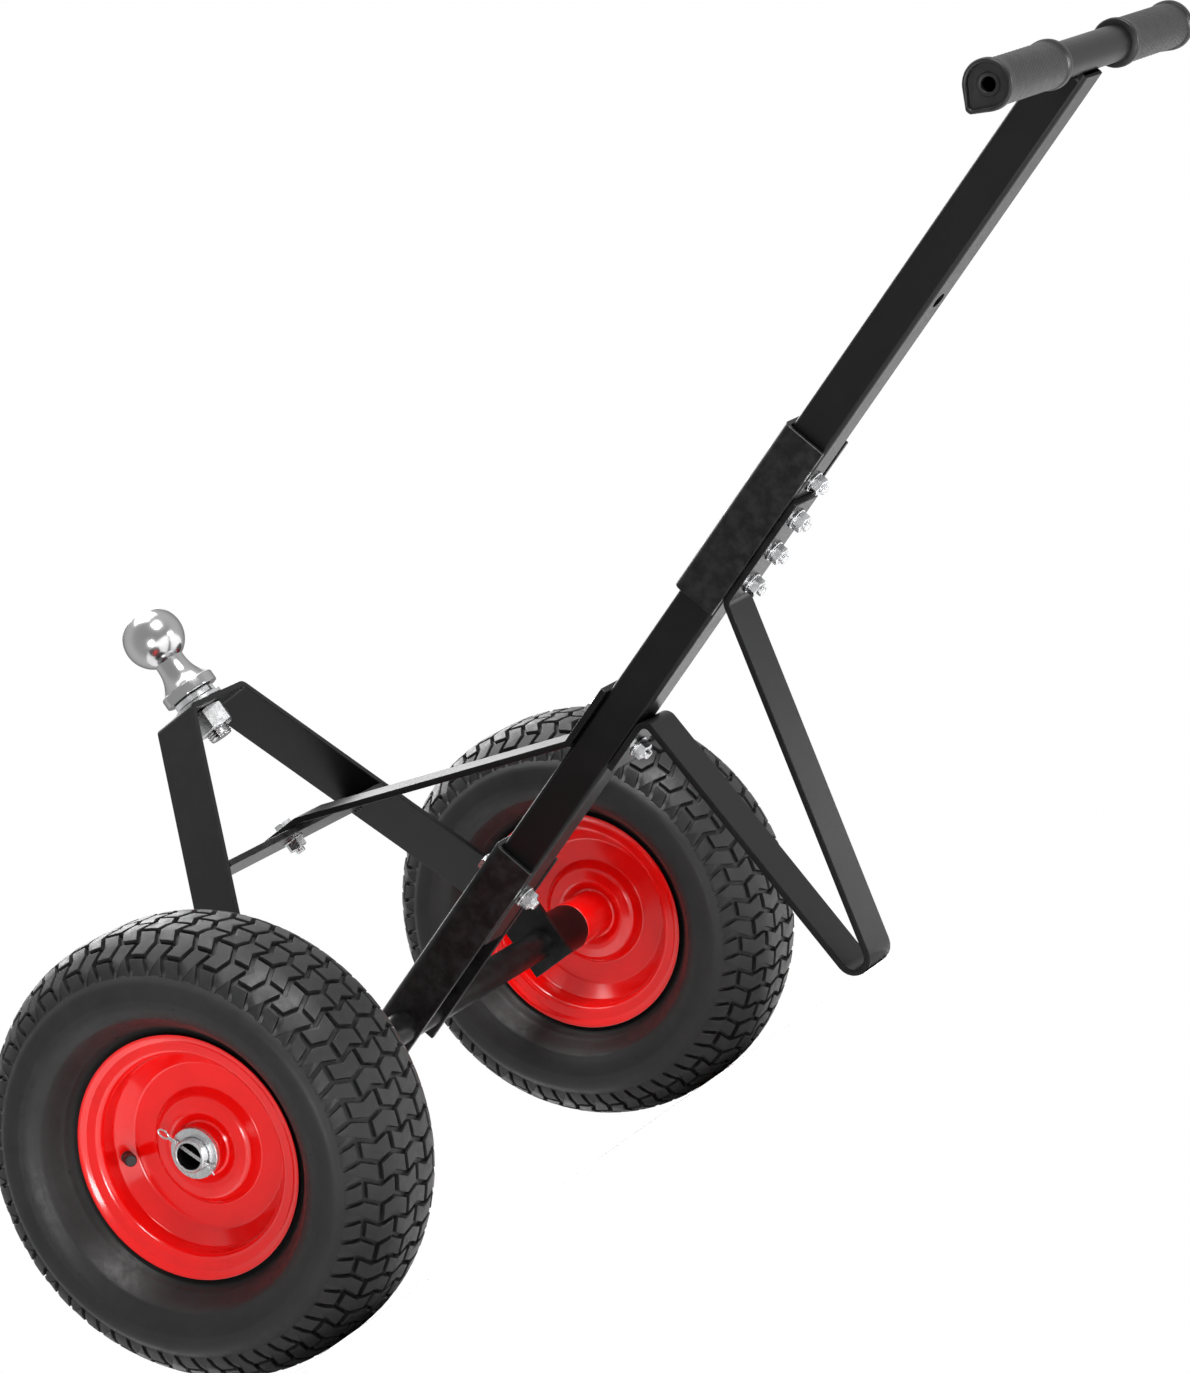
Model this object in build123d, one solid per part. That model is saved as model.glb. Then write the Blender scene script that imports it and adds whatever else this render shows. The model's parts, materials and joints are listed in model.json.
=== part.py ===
"""Hand trailer dolly: two pneumatic wheels on a tube axle, an A-shaped strap frame that
carries a hitch ball, and a long two-part handle propped on a bent strap kickstand.

Millimetres. It is modelled about the axle: +X runs back along the handle, +Y is the
operator's right (facing the ball), +Z is up. At the end everything moves so that the
origin lies on the ground at the middle of the whole dolly.
"""

import os
from math import atan2, cos, degrees, hypot, radians, sin, sqrt

from build123d import *

# ---- driving dimensions -------------------------------------------------------------
FIT = 0.1  # play of a bolt or tube in its hole, on the radius
RUN = 0.05  # running play of the wheel bushings on the axle, on the radius
SIDE_PLAY = 0.3  # end play between a turning hub and its spacer or washer

# wheels, 13 x 5.00-6
TYRE_R = 165.0
TYRE_W = 120.0
TYRE_WALL = 7.0
RIM_R = 88.9
RIM_W = 66.0
SEAT_R = 75.5
RIM_SHEET = 2.5
LIP_W = 4.5  # width of the rim's turned lip, and its fall
LIP_FALL = 3.0
BEAD_FALL = 4.5  # bead seat's wall, in from the rim's edge
WELL_Y = 12.0  # station of the well's corner
WELL_RUN = 13.0  # radius that the well's slanting wall takes up
WEB_RUN = 20.0  # radius of the flat web, where the two halves meet
RIDGE_RUN = 5.0  # radius of the slope up to the ridge round the hub
RIDGE_W = 9.0
RIDGE_Y = (9.0, 10.5)  # the ridge's stations, outside and inside
DISH_Y = 5.0  # station of the sheet at the hub
BEAD_GAP = 0.3  # between the tyre's bead and the rim
SIDEWALL_IN = (52.0, 18.0)  # ends of the flat sidewall, in from the tread
TREAD_FALL = 28.0  # shoulder's width, in from the sidewall
TUBE_GAP = 1.0
INNER_TUBE_WALL = 2.0
TRACK = 610.0
HUB_IN = 53.0  # hub reach from the wheel's centre plane, towards the frame
HUB_OUT = 20.0
HUB_WALL = 3.0
BUSH_WALL = 4.0
BUSH_FLANGE = 1.5
BUSH_L = 16.0
VALVE_R = 4.0
VALVE_PROUD = 9.0  # stem standing out of the rim, under its cap
VALVE_CAP_L = 9.0
VALVE_CAP_WALL = 1.0
VALVE_ANGLE = 156.2  # valve's place round the wheel, from +X towards +Z

# axle
AXLE_R = 12.0
AXLE_WALL = 2.5
AXLE_STUB = 7.2  # axle standing proud of the washer
WASHER_RIM = 6.75  # washer's face outside the axle
WASHER_T = 2.5
PIN_R = 1.6
PIN_TILT = 24.0  # cotter pin's lean from upright
PIN_EYE_Z = 14.0  # eye's centre above the tube
PIN_TAIL = 9.0  # legs below the tube
EYE_R = 4.2
WIRE_R = 1.3

# frame straps
STRAP_W = 40.0
STRAP_T = 5.0
STRAP_BEND = 4.0  # inside bend radius
A_TOP = 290.0  # top plate above the axle
A_TOP_HALF = 38.5
A_FOOT_Y = 208.0  # outer face of the axle tabs
A_FOOT_Z = 45.5
A_TAB = 8.0  # tab below the axle tube
BRACE_Z = 165.5  # underside of the cross brace above the axle

# hitch ball
BALL_R = 23.8
BALL_H = 62.0  # ball centre above the top plate
SHANK_R = 9.5
SHANK_BELOW = 30.0
BALL_FLAT = 0.8  # depth of the flat on top of the ball
BALL_FLANGE_R = 22.0
BALL_FLANGE_T = 9.0
BALL_AF = 40.0
NECK_R = 12.0
NECK_FOOT = 1.5  # shoulder outside the neck's foot
NECK_FLARE = 2.2  # neck's flare at a little over a third of its height
SPRING_T = 6.0
SPRING_R = 17.0
FLAT_T = 3.5
FLAT_R = 20.0
BALL_NUT_AF = 28.6
BALL_NUT_T = 18.0

# handle
HANDLE_ANGLE = 16.0
HANDLE_RISE = 2.0  # handle's centre line above the axle's centre
TUBE = 31.75
TUBE_WALL = 2.5
TUBE_CORNER = 3.5
CHANNEL_GAP = 3.125  # beside the tube, each side
CHANNEL_T = 4.0
CHANNEL_BEND = 2.0
AXLE_CHANNEL = (-17.0, 172.0)  # stations along the handle, measured from the axle
LOWER_TUBE_S = 96.0
SPLICE_S = 504.5  # where the two tubes meet
SPLICE_GAP = 1.0
SPLICE_L = 152.0
SPLICE_PITCH = 30.5
TBAR_S = 917.0
TBAR_R = 12.7
TBAR_WALL = 2.0
TBAR_L = 336.0
GRIP_L = 112.0
GRIP_WALL = 3.3
GRIP_END = 4.0
GRIP_HOLE_R = 5.0
GRIP_FLANGE = 1.5  # end flange outside the sleeve
GRIP_FLANGE_T = 6.0
GRIP_COLLAR = 1.2
GRIP_COLLAR_L = 7.0
PIN_HOLE_S = 715.0
PIN_HOLE_R = 6.0

# long brace
LONG_BRACE_FRONT = -20.0
LONG_BRACE_BEND_X = 24.0
LONG_BRACE_LAP = (27.5, 26.5)  # bend and end, before and behind the stand bolt
LONG_BRACE_CORNER = 14.0

# kickstand
KICK_LAP_TOP = (18.0, 16.0)  # bend and end, before the first and behind the third splice bolt
KICK_LAP_LOW = (20.5, 31.5)  # end and bend, before and behind the stand bolt
KICK_FOOT_X = 343.0
KICK_FOOT_BEND = 9.0
KICK_W = 38.0

# bolts
BOLT_R = 4.0
BOLT_AF = 13.0
HEAD_T = 5.3
BUTTON_R = 7.0  # low domed head of a splice bolt
BUTTON_T = 4.4
BUTTON_KEY = 5.0
BUTTON_KEY_DEPTH = 2.5
NUT_T = 6.8
BOLT_WASHER_R = 8.5
BOLT_WASHER_T = 1.6
BOLT_PROUD = 3.5
BOLT_TIP = 0.8
CHANNEL_BOLT_END = 30.0  # from the axle channel's back end
KICK_BOLT_S = 299.5

# ---- worked-out places --------------------------------------------------------------
HANDLE = Location((0, 0, 0), (0, -HANDLE_ANGLE, 0)) * Pos(0, 0, HANDLE_RISE)
HALF_TUBE = TUBE / 2
CHANNEL_W = TUBE + 2 * (CHANNEL_GAP + CHANNEL_T)
WEB_OUT = HALF_TUBE + CHANNEL_T
CHANNEL_BOLT_S = AXLE_CHANNEL[1] - CHANNEL_BOLT_END
SPLICE_BOLT_S = [SPLICE_S + SPLICE_PITCH * k for k in (-1.5, -0.5, 0.5, 1.5)]
KICK_TOP = (SPLICE_BOLT_S[0] - KICK_LAP_TOP[0], SPLICE_BOLT_S[2] + KICK_LAP_TOP[1])
KICK_LOW = (KICK_BOLT_S - KICK_LAP_LOW[0], KICK_BOLT_S + KICK_LAP_LOW[1])
KICK_UNDER = -HALF_TUBE - STRAP_T
HUB_R = AXLE_R + BUSH_WALL + HUB_WALL
WASHER_R = AXLE_R + WASHER_RIM
GRIP_R = TBAR_R + GRIP_WALL
GRIP_FLANGE_R = GRIP_R + GRIP_FLANGE
WHEEL_Y = TRACK / 2
HUB_IN_Y = WHEEL_Y - HUB_IN
HUB_OUT_Y = WHEEL_Y + HUB_OUT
WASHER_Y = HUB_OUT_Y + SIDE_PLAY
AXLE_END = WASHER_Y + WASHER_T + AXLE_STUB
PIN_Y = WASHER_Y + WASHER_T + PIN_R + FIT


def handle_point(s, n):
    """(x, z) of the point s along the handle and n above its centre line."""
    a = radians(HANDLE_ANGLE)
    n += HANDLE_RISE
    return (s * cos(a) - n * sin(a), s * sin(a) + n * cos(a))


TBAR_X = handle_point(TBAR_S, 0)[0]
CENTRE_X = (TBAR_X + GRIP_FLANGE_R - TYRE_R) / 2
PLACE = Location((-CENTRE_X, 0, TYRE_R))

parts = {}


def add(node, *solids):
    """Keep the solids of one node, moved to the dolly's own origin."""
    parts[node] = Compound(label=node, children=[PLACE * s for s in solids])


def offset_line(points, radii, shift):
    """Polyline moved sideways by shift (left is positive), its corners rounded."""
    steps = [(b[0] - a[0], b[1] - a[1]) for a, b in zip(points, points[1:])]
    units = [(dx / hypot(dx, dy), dy / hypot(dx, dy)) for dx, dy in steps]
    normals = [(-uy, ux) for ux, uy in units]
    moved = [(points[0][0] + normals[0][0] * shift, points[0][1] + normals[0][1] * shift)]
    rounded = []
    for i, radius in enumerate(radii, start=1):
        (ax, ay), (bx, by) = normals[i - 1], normals[i]
        k = shift / (1 + ax * bx + ay * by)
        moved.append((points[i][0] + (ax + bx) * k, points[i][1] + (ay + by) * k))
        left_turn = ax * by - ay * bx > 0
        rounded.append(radius - shift if left_turn else radius + shift)
    last = normals[-1]
    moved.append((points[-1][0] + last[0] * shift, points[-1][1] + last[1] * shift))
    return FilletPolyline(*moved, radius=rounded)


def ribbon(points, radii, left, right):
    """Flat strip between two offsets of a polyline with rounded corners."""
    a = offset_line(points, radii, left)
    b = offset_line(points, radii, right)
    ends = [Line(a @ 0, b @ 0), Line(a @ 1, b @ 1)]
    return make_face(Wire([*a.edges(), *b.edges(), *[e.edge() for e in ends]]))


def round_bar(radius, start, end, axis="Z", x=0.0, y=0.0):
    """Solid round bar between two stations of one axis."""
    bar = Pos(x, y, start) * extrude(Circle(radius), end - start)
    turn = {"Z": (0, 0, 0), "Y": (-90, 0, 0), "X": (0, 90, 0)}[axis]
    return Location((0, 0, 0), turn) * bar


def ring(outer, inner, start, end, axis="Z"):
    """Round tube or washer between two stations of one axis."""
    return round_bar(outer, start, end, axis) - round_bar(inner, start - 1, end + 1, axis)


def hexagon(across_flats, start, end):
    """Hexagonal prism with its corners turned off at both ends."""
    outline = extrude(RegularPolygon(across_flats / 2, 6, major_radius=False), end - start)
    corner = across_flats / sqrt(3)
    turned = chamfer(round_bar(corner, 0, end - start).edges(), (corner - across_flats / 2) * 0.9)
    return Pos(0, 0, start) * (outline & turned)


def button_head(top):
    """Low domed bolt head with a hexagonal socket."""
    dome = round_bar(BUTTON_R, top, top + BUTTON_T)
    dome = fillet(dome.edges().sort_by(Axis.Z)[-1], BUTTON_T * 0.95)
    key_top = top + BUTTON_T
    return dome - hexagon(BUTTON_KEY, key_top - BUTTON_KEY_DEPTH, key_top + 1)


def bolt(top, under, head=None):
    """Bolt through everything from top down to under, with washer and nut below."""
    nut_top = under - BOLT_WASHER_T
    nut_under = nut_top - NUT_T
    shank = round_bar(BOLT_R, nut_under - BOLT_PROUD, top)
    shank = chamfer(shank.edges().sort_by(Axis.Z)[0], BOLT_TIP)
    screw = shank + (head or hexagon(BOLT_AF, top, top + HEAD_T))
    washer = ring(BOLT_WASHER_R, BOLT_R + FIT, nut_top, under)
    nut = hexagon(BOLT_AF, nut_under, nut_top) - round_bar(BOLT_R + FIT, nut_under - 1, nut_top + 1)
    return screw, washer, nut


def bolt_hole(low, high):
    """Clearance hole for a bolt."""
    return round_bar(BOLT_R + FIT, low, high)


def on_handle(shape, s=0.0):
    """Shape drawn about the handle's own axis, moved to station s."""
    return HANDLE * Pos(s, 0, 0) * shape


# ---- A-frame ------------------------------------------------------------------------
FOOT_Z = -AXLE_R - A_TAB
OUTER_BEND = STRAP_BEND + STRAP_T
frame_line = [
    (-A_FOOT_Y, FOOT_Z),
    (-A_FOOT_Y, A_FOOT_Z),
    (-A_TOP_HALF, A_TOP),
    (A_TOP_HALF, A_TOP),
    (A_FOOT_Y, A_FOOT_Z),
    (A_FOOT_Y, FOOT_Z),
]
frame_outline = ribbon(frame_line, [OUTER_BEND] * 4, 0, -STRAP_T)
a_frame = extrude(Plane.YZ * frame_outline, STRAP_W / 2, both=True)
a_frame -= round_bar(AXLE_R + FIT, -A_FOOT_Y - 5, A_FOOT_Y + 5, "Y")
a_frame -= round_bar(SHANK_R + FIT, A_TOP - STRAP_T - 5, A_TOP + 5)
add("a_frame", a_frame)

LEG_SLOPE = (A_FOOT_Y - A_TOP_HALF) / (A_TOP - A_FOOT_Z)
LEG_INSET = STRAP_T * sqrt(1 + LEG_SLOPE**2)


def leg_inside(z):
    """Half the clear width between the slanting legs at height z."""
    return A_TOP_HALF + (A_TOP - z) * LEG_SLOPE - LEG_INSET


BRACE_TOP = BRACE_Z + STRAP_T
brace_outline = Polygon(
    (-leg_inside(BRACE_Z), BRACE_Z),
    (leg_inside(BRACE_Z), BRACE_Z),
    (leg_inside(BRACE_TOP), BRACE_TOP),
    (-leg_inside(BRACE_TOP), BRACE_TOP),
    align=None,
)
cross_brace = extrude(Plane.YZ * brace_outline, STRAP_W / 2, both=True)
cross_brace -= bolt_hole(BRACE_Z - 5, BRACE_TOP + 5)
add("cross_brace", cross_brace)

# ---- long brace, from the cross brace back and down to the handle's top ---------------
brace_line = [
    (LONG_BRACE_FRONT, BRACE_TOP),
    (LONG_BRACE_BEND_X, BRACE_TOP),
    handle_point(KICK_BOLT_S - LONG_BRACE_LAP[0], HALF_TUBE),
    handle_point(KICK_BOLT_S + LONG_BRACE_LAP[1], HALF_TUBE),
]
long_outline = ribbon(brace_line, [OUTER_BEND] * 2, STRAP_T, 0)
long_brace = extrude(Plane.XZ * long_outline, STRAP_W / 2, both=True)
front_corners = long_brace.edges().filter_by(Axis.Z).group_by(Axis.X)[0]
long_brace = fillet(front_corners, LONG_BRACE_CORNER)
long_brace -= bolt_hole(BRACE_TOP - 5, BRACE_TOP + STRAP_T + 5)
long_brace -= on_handle(bolt_hole(HALF_TUBE - 5, HALF_TUBE + STRAP_T + 5), KICK_BOLT_S)
add("long_brace", long_brace)

# ---- handle --------------------------------------------------------------------------
tube_face = RectangleRounded(TUBE, TUBE, TUBE_CORNER) - RectangleRounded(
    TUBE - 2 * TUBE_WALL, TUBE - 2 * TUBE_WALL, TUBE_CORNER - TUBE_WALL
)


def handle_tube(start, end, holes):
    """Square tube between two stations, drilled through top and bottom."""
    tube = Pos(start, 0, 0) * extrude(Plane.YZ * tube_face, end - start)
    for s in holes:
        tube -= Pos(s, 0, 0) * bolt_hole(-TUBE, TUBE)
    return tube


def channel(start, end, holes):
    """U-channel over the tube: web on top, flanges down to the tube's underside."""
    side = CHANNEL_W / 2
    line = [(-side, -HALF_TUBE), (-side, WEB_OUT), (side, WEB_OUT), (side, -HALF_TUBE)]
    face = ribbon(line, [CHANNEL_BEND + CHANNEL_T] * 2, 0, -CHANNEL_T)
    body = Pos(start, 0, 0) * extrude(Plane.YZ * face, end - start)
    for s in holes:
        body -= Pos(s, 0, 0) * bolt_hole(0, TUBE)
    return body


lower_holes = [CHANNEL_BOLT_S, KICK_BOLT_S, *SPLICE_BOLT_S[:2]]
lower_tube = handle_tube(LOWER_TUBE_S, SPLICE_S - SPLICE_GAP / 2, lower_holes)
add("handle_lower_tube", on_handle(lower_tube))

upper_tube = handle_tube(SPLICE_S + SPLICE_GAP / 2, TBAR_S - TBAR_R / 2, SPLICE_BOLT_S[2:])
upper_tube -= Pos(TBAR_S, 0, 0) * round_bar(TBAR_R, -TUBE, TUBE, "Y")
upper_tube -= Pos(PIN_HOLE_S, 0, 0) * round_bar(PIN_HOLE_R, -TUBE, TUBE)
add("handle_upper_tube", on_handle(upper_tube))

axle_channel = channel(*AXLE_CHANNEL, [CHANNEL_BOLT_S])
axle_channel -= Pos(0, 0, -HANDLE_RISE) * round_bar(AXLE_R + FIT, -CHANNEL_W, CHANNEL_W, "Y")
add("axle_channel", on_handle(axle_channel))
splice_channel = channel(SPLICE_S - SPLICE_L / 2, SPLICE_S + SPLICE_L / 2, SPLICE_BOLT_S)
add("splice_channel", on_handle(splice_channel))

t_bar = ring(TBAR_R, TBAR_R - TBAR_WALL, -TBAR_L / 2, TBAR_L / 2, "Y")
add("t_bar", on_handle(t_bar, TBAR_S))


def grip(side):
    """Rubber grip: sleeve, collar at the inner end, end flange with one square corner."""
    inner = TBAR_L / 2 - GRIP_L
    outer = TBAR_L / 2 + GRIP_END
    corner = Rectangle(GRIP_FLANGE_R, GRIP_FLANGE_R, align=(Align.MAX, Align.MAX))
    outline = Circle(GRIP_FLANGE_R) + Rot(0, 0, -45) * corner
    flange = Pos(0, outer, 0) * extrude(Plane.XZ * outline, GRIP_FLANGE_T)
    body = round_bar(GRIP_R, inner, outer, "Y") + flange
    body += round_bar(GRIP_R + GRIP_COLLAR, inner, inner + GRIP_COLLAR_L, "Y")
    body -= round_bar(TBAR_R, inner - 1, TBAR_L / 2, "Y")
    body -= round_bar(GRIP_HOLE_R, inner, outer + 1, "Y")
    if side < 0:
        body = mirror(body, Plane.XZ)
    return on_handle(body, TBAR_S)


add("grip_left", grip(-1))
add("grip_right", grip(1))

# ---- kickstand ------------------------------------------------------------------------
kick_line = [
    handle_point(KICK_TOP[1], -HALF_TUBE),
    handle_point(KICK_TOP[0], -HALF_TUBE),
    (KICK_FOOT_X, -TYRE_R),
    handle_point(KICK_LOW[1], -HALF_TUBE),
    handle_point(KICK_LOW[0], -HALF_TUBE),
]


def foot_corner():
    """Height of the inner line's corner whose rounded foot just meets the ground."""
    (ux, uz), (lx, lz) = kick_line[1], kick_line[3]
    z = -TYRE_R
    for _ in range(30):
        up = (ux - KICK_FOOT_X, uz - z)
        low = (lx - KICK_FOOT_X, lz - z)
        up_a, low_a = atan2(up[1], up[0]), atan2(low[1], low[0])
        half = (low_a - up_a) / 2
        middle = (low_a + up_a) / 2
        centre = z + KICK_FOOT_BEND / sin(half) * sin(middle)
        z -= centre - KICK_FOOT_BEND - STRAP_T + TYRE_R
    return z


kick_line[2] = (KICK_FOOT_X, foot_corner())
kick_bends = [OUTER_BEND, KICK_FOOT_BEND, OUTER_BEND]
kick_outline = ribbon(kick_line, kick_bends, 0, STRAP_T)
kickstand = extrude(Plane.XZ * kick_outline, KICK_W / 2, both=True)
for station in (KICK_BOLT_S, *SPLICE_BOLT_S[:3]):
    kickstand -= on_handle(bolt_hole(KICK_UNDER - 5, -HALF_TUBE + 5), station)
add("kickstand", kickstand)

# ---- bolts ----------------------------------------------------------------------------
splice = []
for station, under in zip(SPLICE_BOLT_S, (KICK_UNDER, KICK_UNDER, KICK_UNDER, -HALF_TUBE)):
    pieces = bolt(WEB_OUT, under, button_head(WEB_OUT))
    splice.append([on_handle(piece, station) for piece in pieces])
for node, kind in (("splice_bolts", 0), ("splice_washers", 1), ("splice_nuts", 2)):
    add(node, *[one[kind] for one in splice])

stand_set = [on_handle(p, KICK_BOLT_S) for p in bolt(HALF_TUBE + STRAP_T, KICK_UNDER)]
channel_set = [on_handle(p, CHANNEL_BOLT_S) for p in bolt(WEB_OUT, -HALF_TUBE)]
brace_set = bolt(BRACE_TOP + STRAP_T, BRACE_Z)
for name, pieces in (("stand", stand_set), ("channel", channel_set), ("brace", brace_set)):
    for kind, piece in zip(("bolt", "washer", "nut"), pieces):
        add(f"{name}_{kind}", piece)

# ---- hitch ball -----------------------------------------------------------------------
BALL_Z = A_TOP + BALL_H
SPRING_Z = A_TOP + FLAT_T
FLANGE_Z = SPRING_Z + SPRING_T
NECK_Z = FLANGE_Z + BALL_FLANGE_T
neck_join = BALL_Z - sqrt(BALL_R**2 - NECK_R**2)
foot_r = BALL_FLANGE_R - NECK_FOOT
profile = [
    Line((0, FLANGE_Z + 1), (foot_r, FLANGE_Z + 1)),
    Line((foot_r, FLANGE_Z + 1), (foot_r, NECK_Z)),
    ThreePointArc(
        (foot_r, NECK_Z),
        (NECK_R + NECK_FLARE, NECK_Z + (neck_join - NECK_Z) * 0.38),
        (NECK_R, neck_join),
    ),
    Line((NECK_R, neck_join), (0, neck_join)),
    Line((0, neck_join), (0, FLANGE_Z + 1)),
]
neck = revolve(Plane.XZ * make_face(Wire([e.edge() for e in profile])), Axis.Z)
hitch_ball = Pos(0, 0, BALL_Z) * Sphere(BALL_R)
hitch_ball -= Pos(0, 0, BALL_Z + BALL_R) * Box(BALL_R, BALL_R, 2 * BALL_FLAT)
hitch_ball += neck
flange = round_bar(BALL_FLANGE_R, FLANGE_Z, NECK_Z)
flange &= Pos(0, 0, FLANGE_Z) * extrude(Rectangle(2 * BALL_FLANGE_R, BALL_AF), BALL_FLANGE_T)
hitch_ball += flange
shank = round_bar(SHANK_R, A_TOP - SHANK_BELOW, FLANGE_Z + 1)
hitch_ball += chamfer(shank.edges().sort_by(Axis.Z)[0], 1.2)
add("hitch_ball", hitch_ball)

flat_washer = ring(FLAT_R, SHANK_R + FIT, A_TOP, SPRING_Z)
add("ball_flat_washer", flat_washer)
spring_washer = ring(SPRING_R, SHANK_R + FIT, SPRING_Z, FLANGE_Z)
split = Pos(SPRING_R, 0, SPRING_Z + SPRING_T / 2) * Rot(20, 0, 0) * Box(2 * SPRING_R, 1.5, 3 * SPRING_T)
add("ball_spring_washer", spring_washer - split)
nut_top = A_TOP - STRAP_T
ball_nut = hexagon(BALL_NUT_AF, nut_top - BALL_NUT_T, nut_top)
ball_nut -= round_bar(SHANK_R + FIT, nut_top - BALL_NUT_T - 1, nut_top + 1)
add("ball_nut", ball_nut)

# ---- axle -----------------------------------------------------------------------------
pin_turn = Rot(0, -PIN_TILT, 0)
axle = ring(AXLE_R, AXLE_R - AXLE_WALL, -AXLE_END, AXLE_END, "Y")
for y in (-PIN_Y, PIN_Y):
    axle -= Pos(0, y, 0) * pin_turn * round_bar(PIN_R + FIT, -2 * AXLE_R, 2 * AXLE_R)
add("axle_tube", axle)


def cotter_pin(side):
    """Split pin: round legs through the tube, wire eye above the washer's edge."""
    eye_z = AXLE_R + PIN_EYE_Z
    legs = round_bar(PIN_R, -AXLE_R - PIN_TAIL, eye_z - EYE_R + WIRE_R / 2)
    eye = Pos(0, 0, eye_z) * Rot(90, 0, 0) * Torus(EYE_R, WIRE_R)
    return Pos(0, side * PIN_Y, 0) * pin_turn * (legs + eye)


for name, side in (("left", -1), ("right", 1)):
    low, high = sorted((side * A_FOOT_Y, side * (HUB_IN_Y - SIDE_PLAY)))
    add(f"axle_spacer_{name}", ring(HUB_R, AXLE_R + FIT, low, high, "Y"))
    low, high = sorted((side * WASHER_Y, side * (WASHER_Y + WASHER_T)))
    add(f"axle_washer_{name}", ring(WASHER_R, AXLE_R + FIT, low, high, "Y"))
    add(f"cotter_pin_{name}", cotter_pin(side))

# ---- wheels, drawn with the outer side towards +Y --------------------------------------
EDGE_Y = RIM_W / 2 - RIM_SHEET
BEAD_Y = EDGE_Y - BEAD_FALL
WELL_R = SEAT_R - 1.0
WEB_R = WELL_R - WELL_RUN
RIDGE_R = WEB_R - WEB_RUN - RIDGE_RUN
rim_line = [
    (RIM_R, EDGE_Y),
    (RIM_R - LIP_W, EDGE_Y - LIP_FALL),
    (SEAT_R, BEAD_Y),
    (WELL_R, WELL_Y),
    (WEB_R, 0.0),
    (WEB_R - WEB_RUN, 0.0),
    (RIDGE_R, RIDGE_Y[0]),
    (RIDGE_R - RIDGE_W, RIDGE_Y[1]),
    (HUB_R, DISH_Y),
]
rim_bends = [3.5, 4.0, 6.0, 6.0, 4.0, 4.0, 5.0]
tyre_side = [
    (SEAT_R + BEAD_GAP, BEAD_Y - BEAD_GAP),
    (RIM_R + 1, BEAD_Y - BEAD_GAP),
    (TYRE_R - SIDEWALL_IN[0], TYRE_W / 2),
    (TYRE_R - SIDEWALL_IN[1], TYRE_W / 2),
    (TYRE_R, TYRE_W / 2 - TREAD_FALL),
]
tyre_line = [(r, -y) for r, y in tyre_side] + tyre_side[::-1]
side_bends = [9.0, 26.0, 26.0, 34.0]
tyre_bends = side_bends + side_bends[::-1]


def closed_face(line):
    """Face inside an open line, closed straight across its ends."""
    return make_face(Wire([*line.edges(), Line(line @ 1, line @ 0).edge()]))


def turned(face):
    """Solid of revolution about the axle from a face drawn as (radius, station)."""
    return revolve(face, Axis.Y)


def wheel(name, side):
    """All pieces of one wheel, at its place on the axle."""

    def put(node, solid):
        if side < 0:
            solid = mirror(solid, Plane.XZ)
        add(f"wheel_{name}_{node}", Pos(0, side * WHEEL_Y, 0) * solid)

    hub_bore = round_bar(HUB_R, -HUB_IN, HUB_OUT, "Y")
    outer_rim = turned(ribbon(rim_line, rim_bends, 0, -RIM_SHEET)) - hub_bore
    inner_line = [(r, -y) for r, y in rim_line]
    inner_rim = turned(ribbon(inner_line, rim_bends, RIM_SHEET, 0)) - hub_bore

    wall_r = (WELL_R + WEB_R) / 2
    lean = degrees(atan2(WELL_Y, WELL_RUN))
    valve_place = Rot(0, -VALVE_ANGLE, 0) * Pos(wall_r, WELL_Y / 2, 0) * Rot(0, 0, lean)
    outer_rim -= valve_place * round_bar(VALVE_R + FIT, -VALVE_PROUD, VALVE_PROUD, "Y")
    put("rim_outer", outer_rim)
    put("rim_inner", inner_rim)

    tyre_face = ribbon(tyre_line, tyre_bends, 0, TYRE_WALL)
    tyre_face -= ribbon(rim_line, rim_bends, BEAD_GAP, -RIM_SHEET)
    tyre_face -= ribbon(inner_line, rim_bends, RIM_SHEET, -BEAD_GAP)
    put("tyre", turned(tyre_face))
    skin = TYRE_WALL + TUBE_GAP
    chamber_face = closed_face(offset_line(tyre_line, tyre_bends, skin))
    hollow_face = closed_face(offset_line(tyre_line, tyre_bends, skin + INNER_TUBE_WALL))
    hollow_face &= Pos(INNER_TUBE_WALL, 0, 0) * chamber_face
    put("inner_tube", turned(chamber_face) - turned(hollow_face))

    reach = (tyre_line[0][0] - wall_r) / sin(radians(lean)) + 2 * VALVE_R
    stem = valve_place * round_bar(VALVE_R, -reach, VALVE_PROUD, "Y")
    stem -= turned(chamber_face)
    put("valve_stem", stem)
    cap = round_bar(VALVE_R + VALVE_CAP_WALL, VALVE_PROUD, VALVE_PROUD + VALVE_CAP_L, "Y")
    cap = chamfer(cap.edges().sort_by(Axis.Y)[-1], VALVE_CAP_WALL)
    put("valve_cap", valve_place * cap)

    hub_low, hub_high = -HUB_IN + BUSH_FLANGE, HUB_OUT - BUSH_FLANGE
    put("hub", ring(HUB_R, HUB_R - HUB_WALL, hub_low, hub_high, "Y"))
    for which, end, inward in (("inner", -HUB_IN, 1), ("outer", HUB_OUT, -1)):
        low, high = sorted((end, end + inward * BUSH_L))
        bush = round_bar(HUB_R - HUB_WALL, low, high, "Y")
        low, high = sorted((end, end + inward * BUSH_FLANGE))
        bush += round_bar(HUB_R - 1, low, high, "Y")
        bush -= round_bar(AXLE_R + RUN, -HUB_IN - 1, HUB_OUT + 1, "Y")
        put(f"bushing_{which}", bush)


wheel("left", -1)
wheel("right", 1)

os.makedirs("parts", exist_ok=True)
for node, shape in parts.items():
    export_step(shape, f"parts/{node}.step")
print(len(parts), "nodes; origin is", round(CENTRE_X, 3), "behind the axle")
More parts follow.
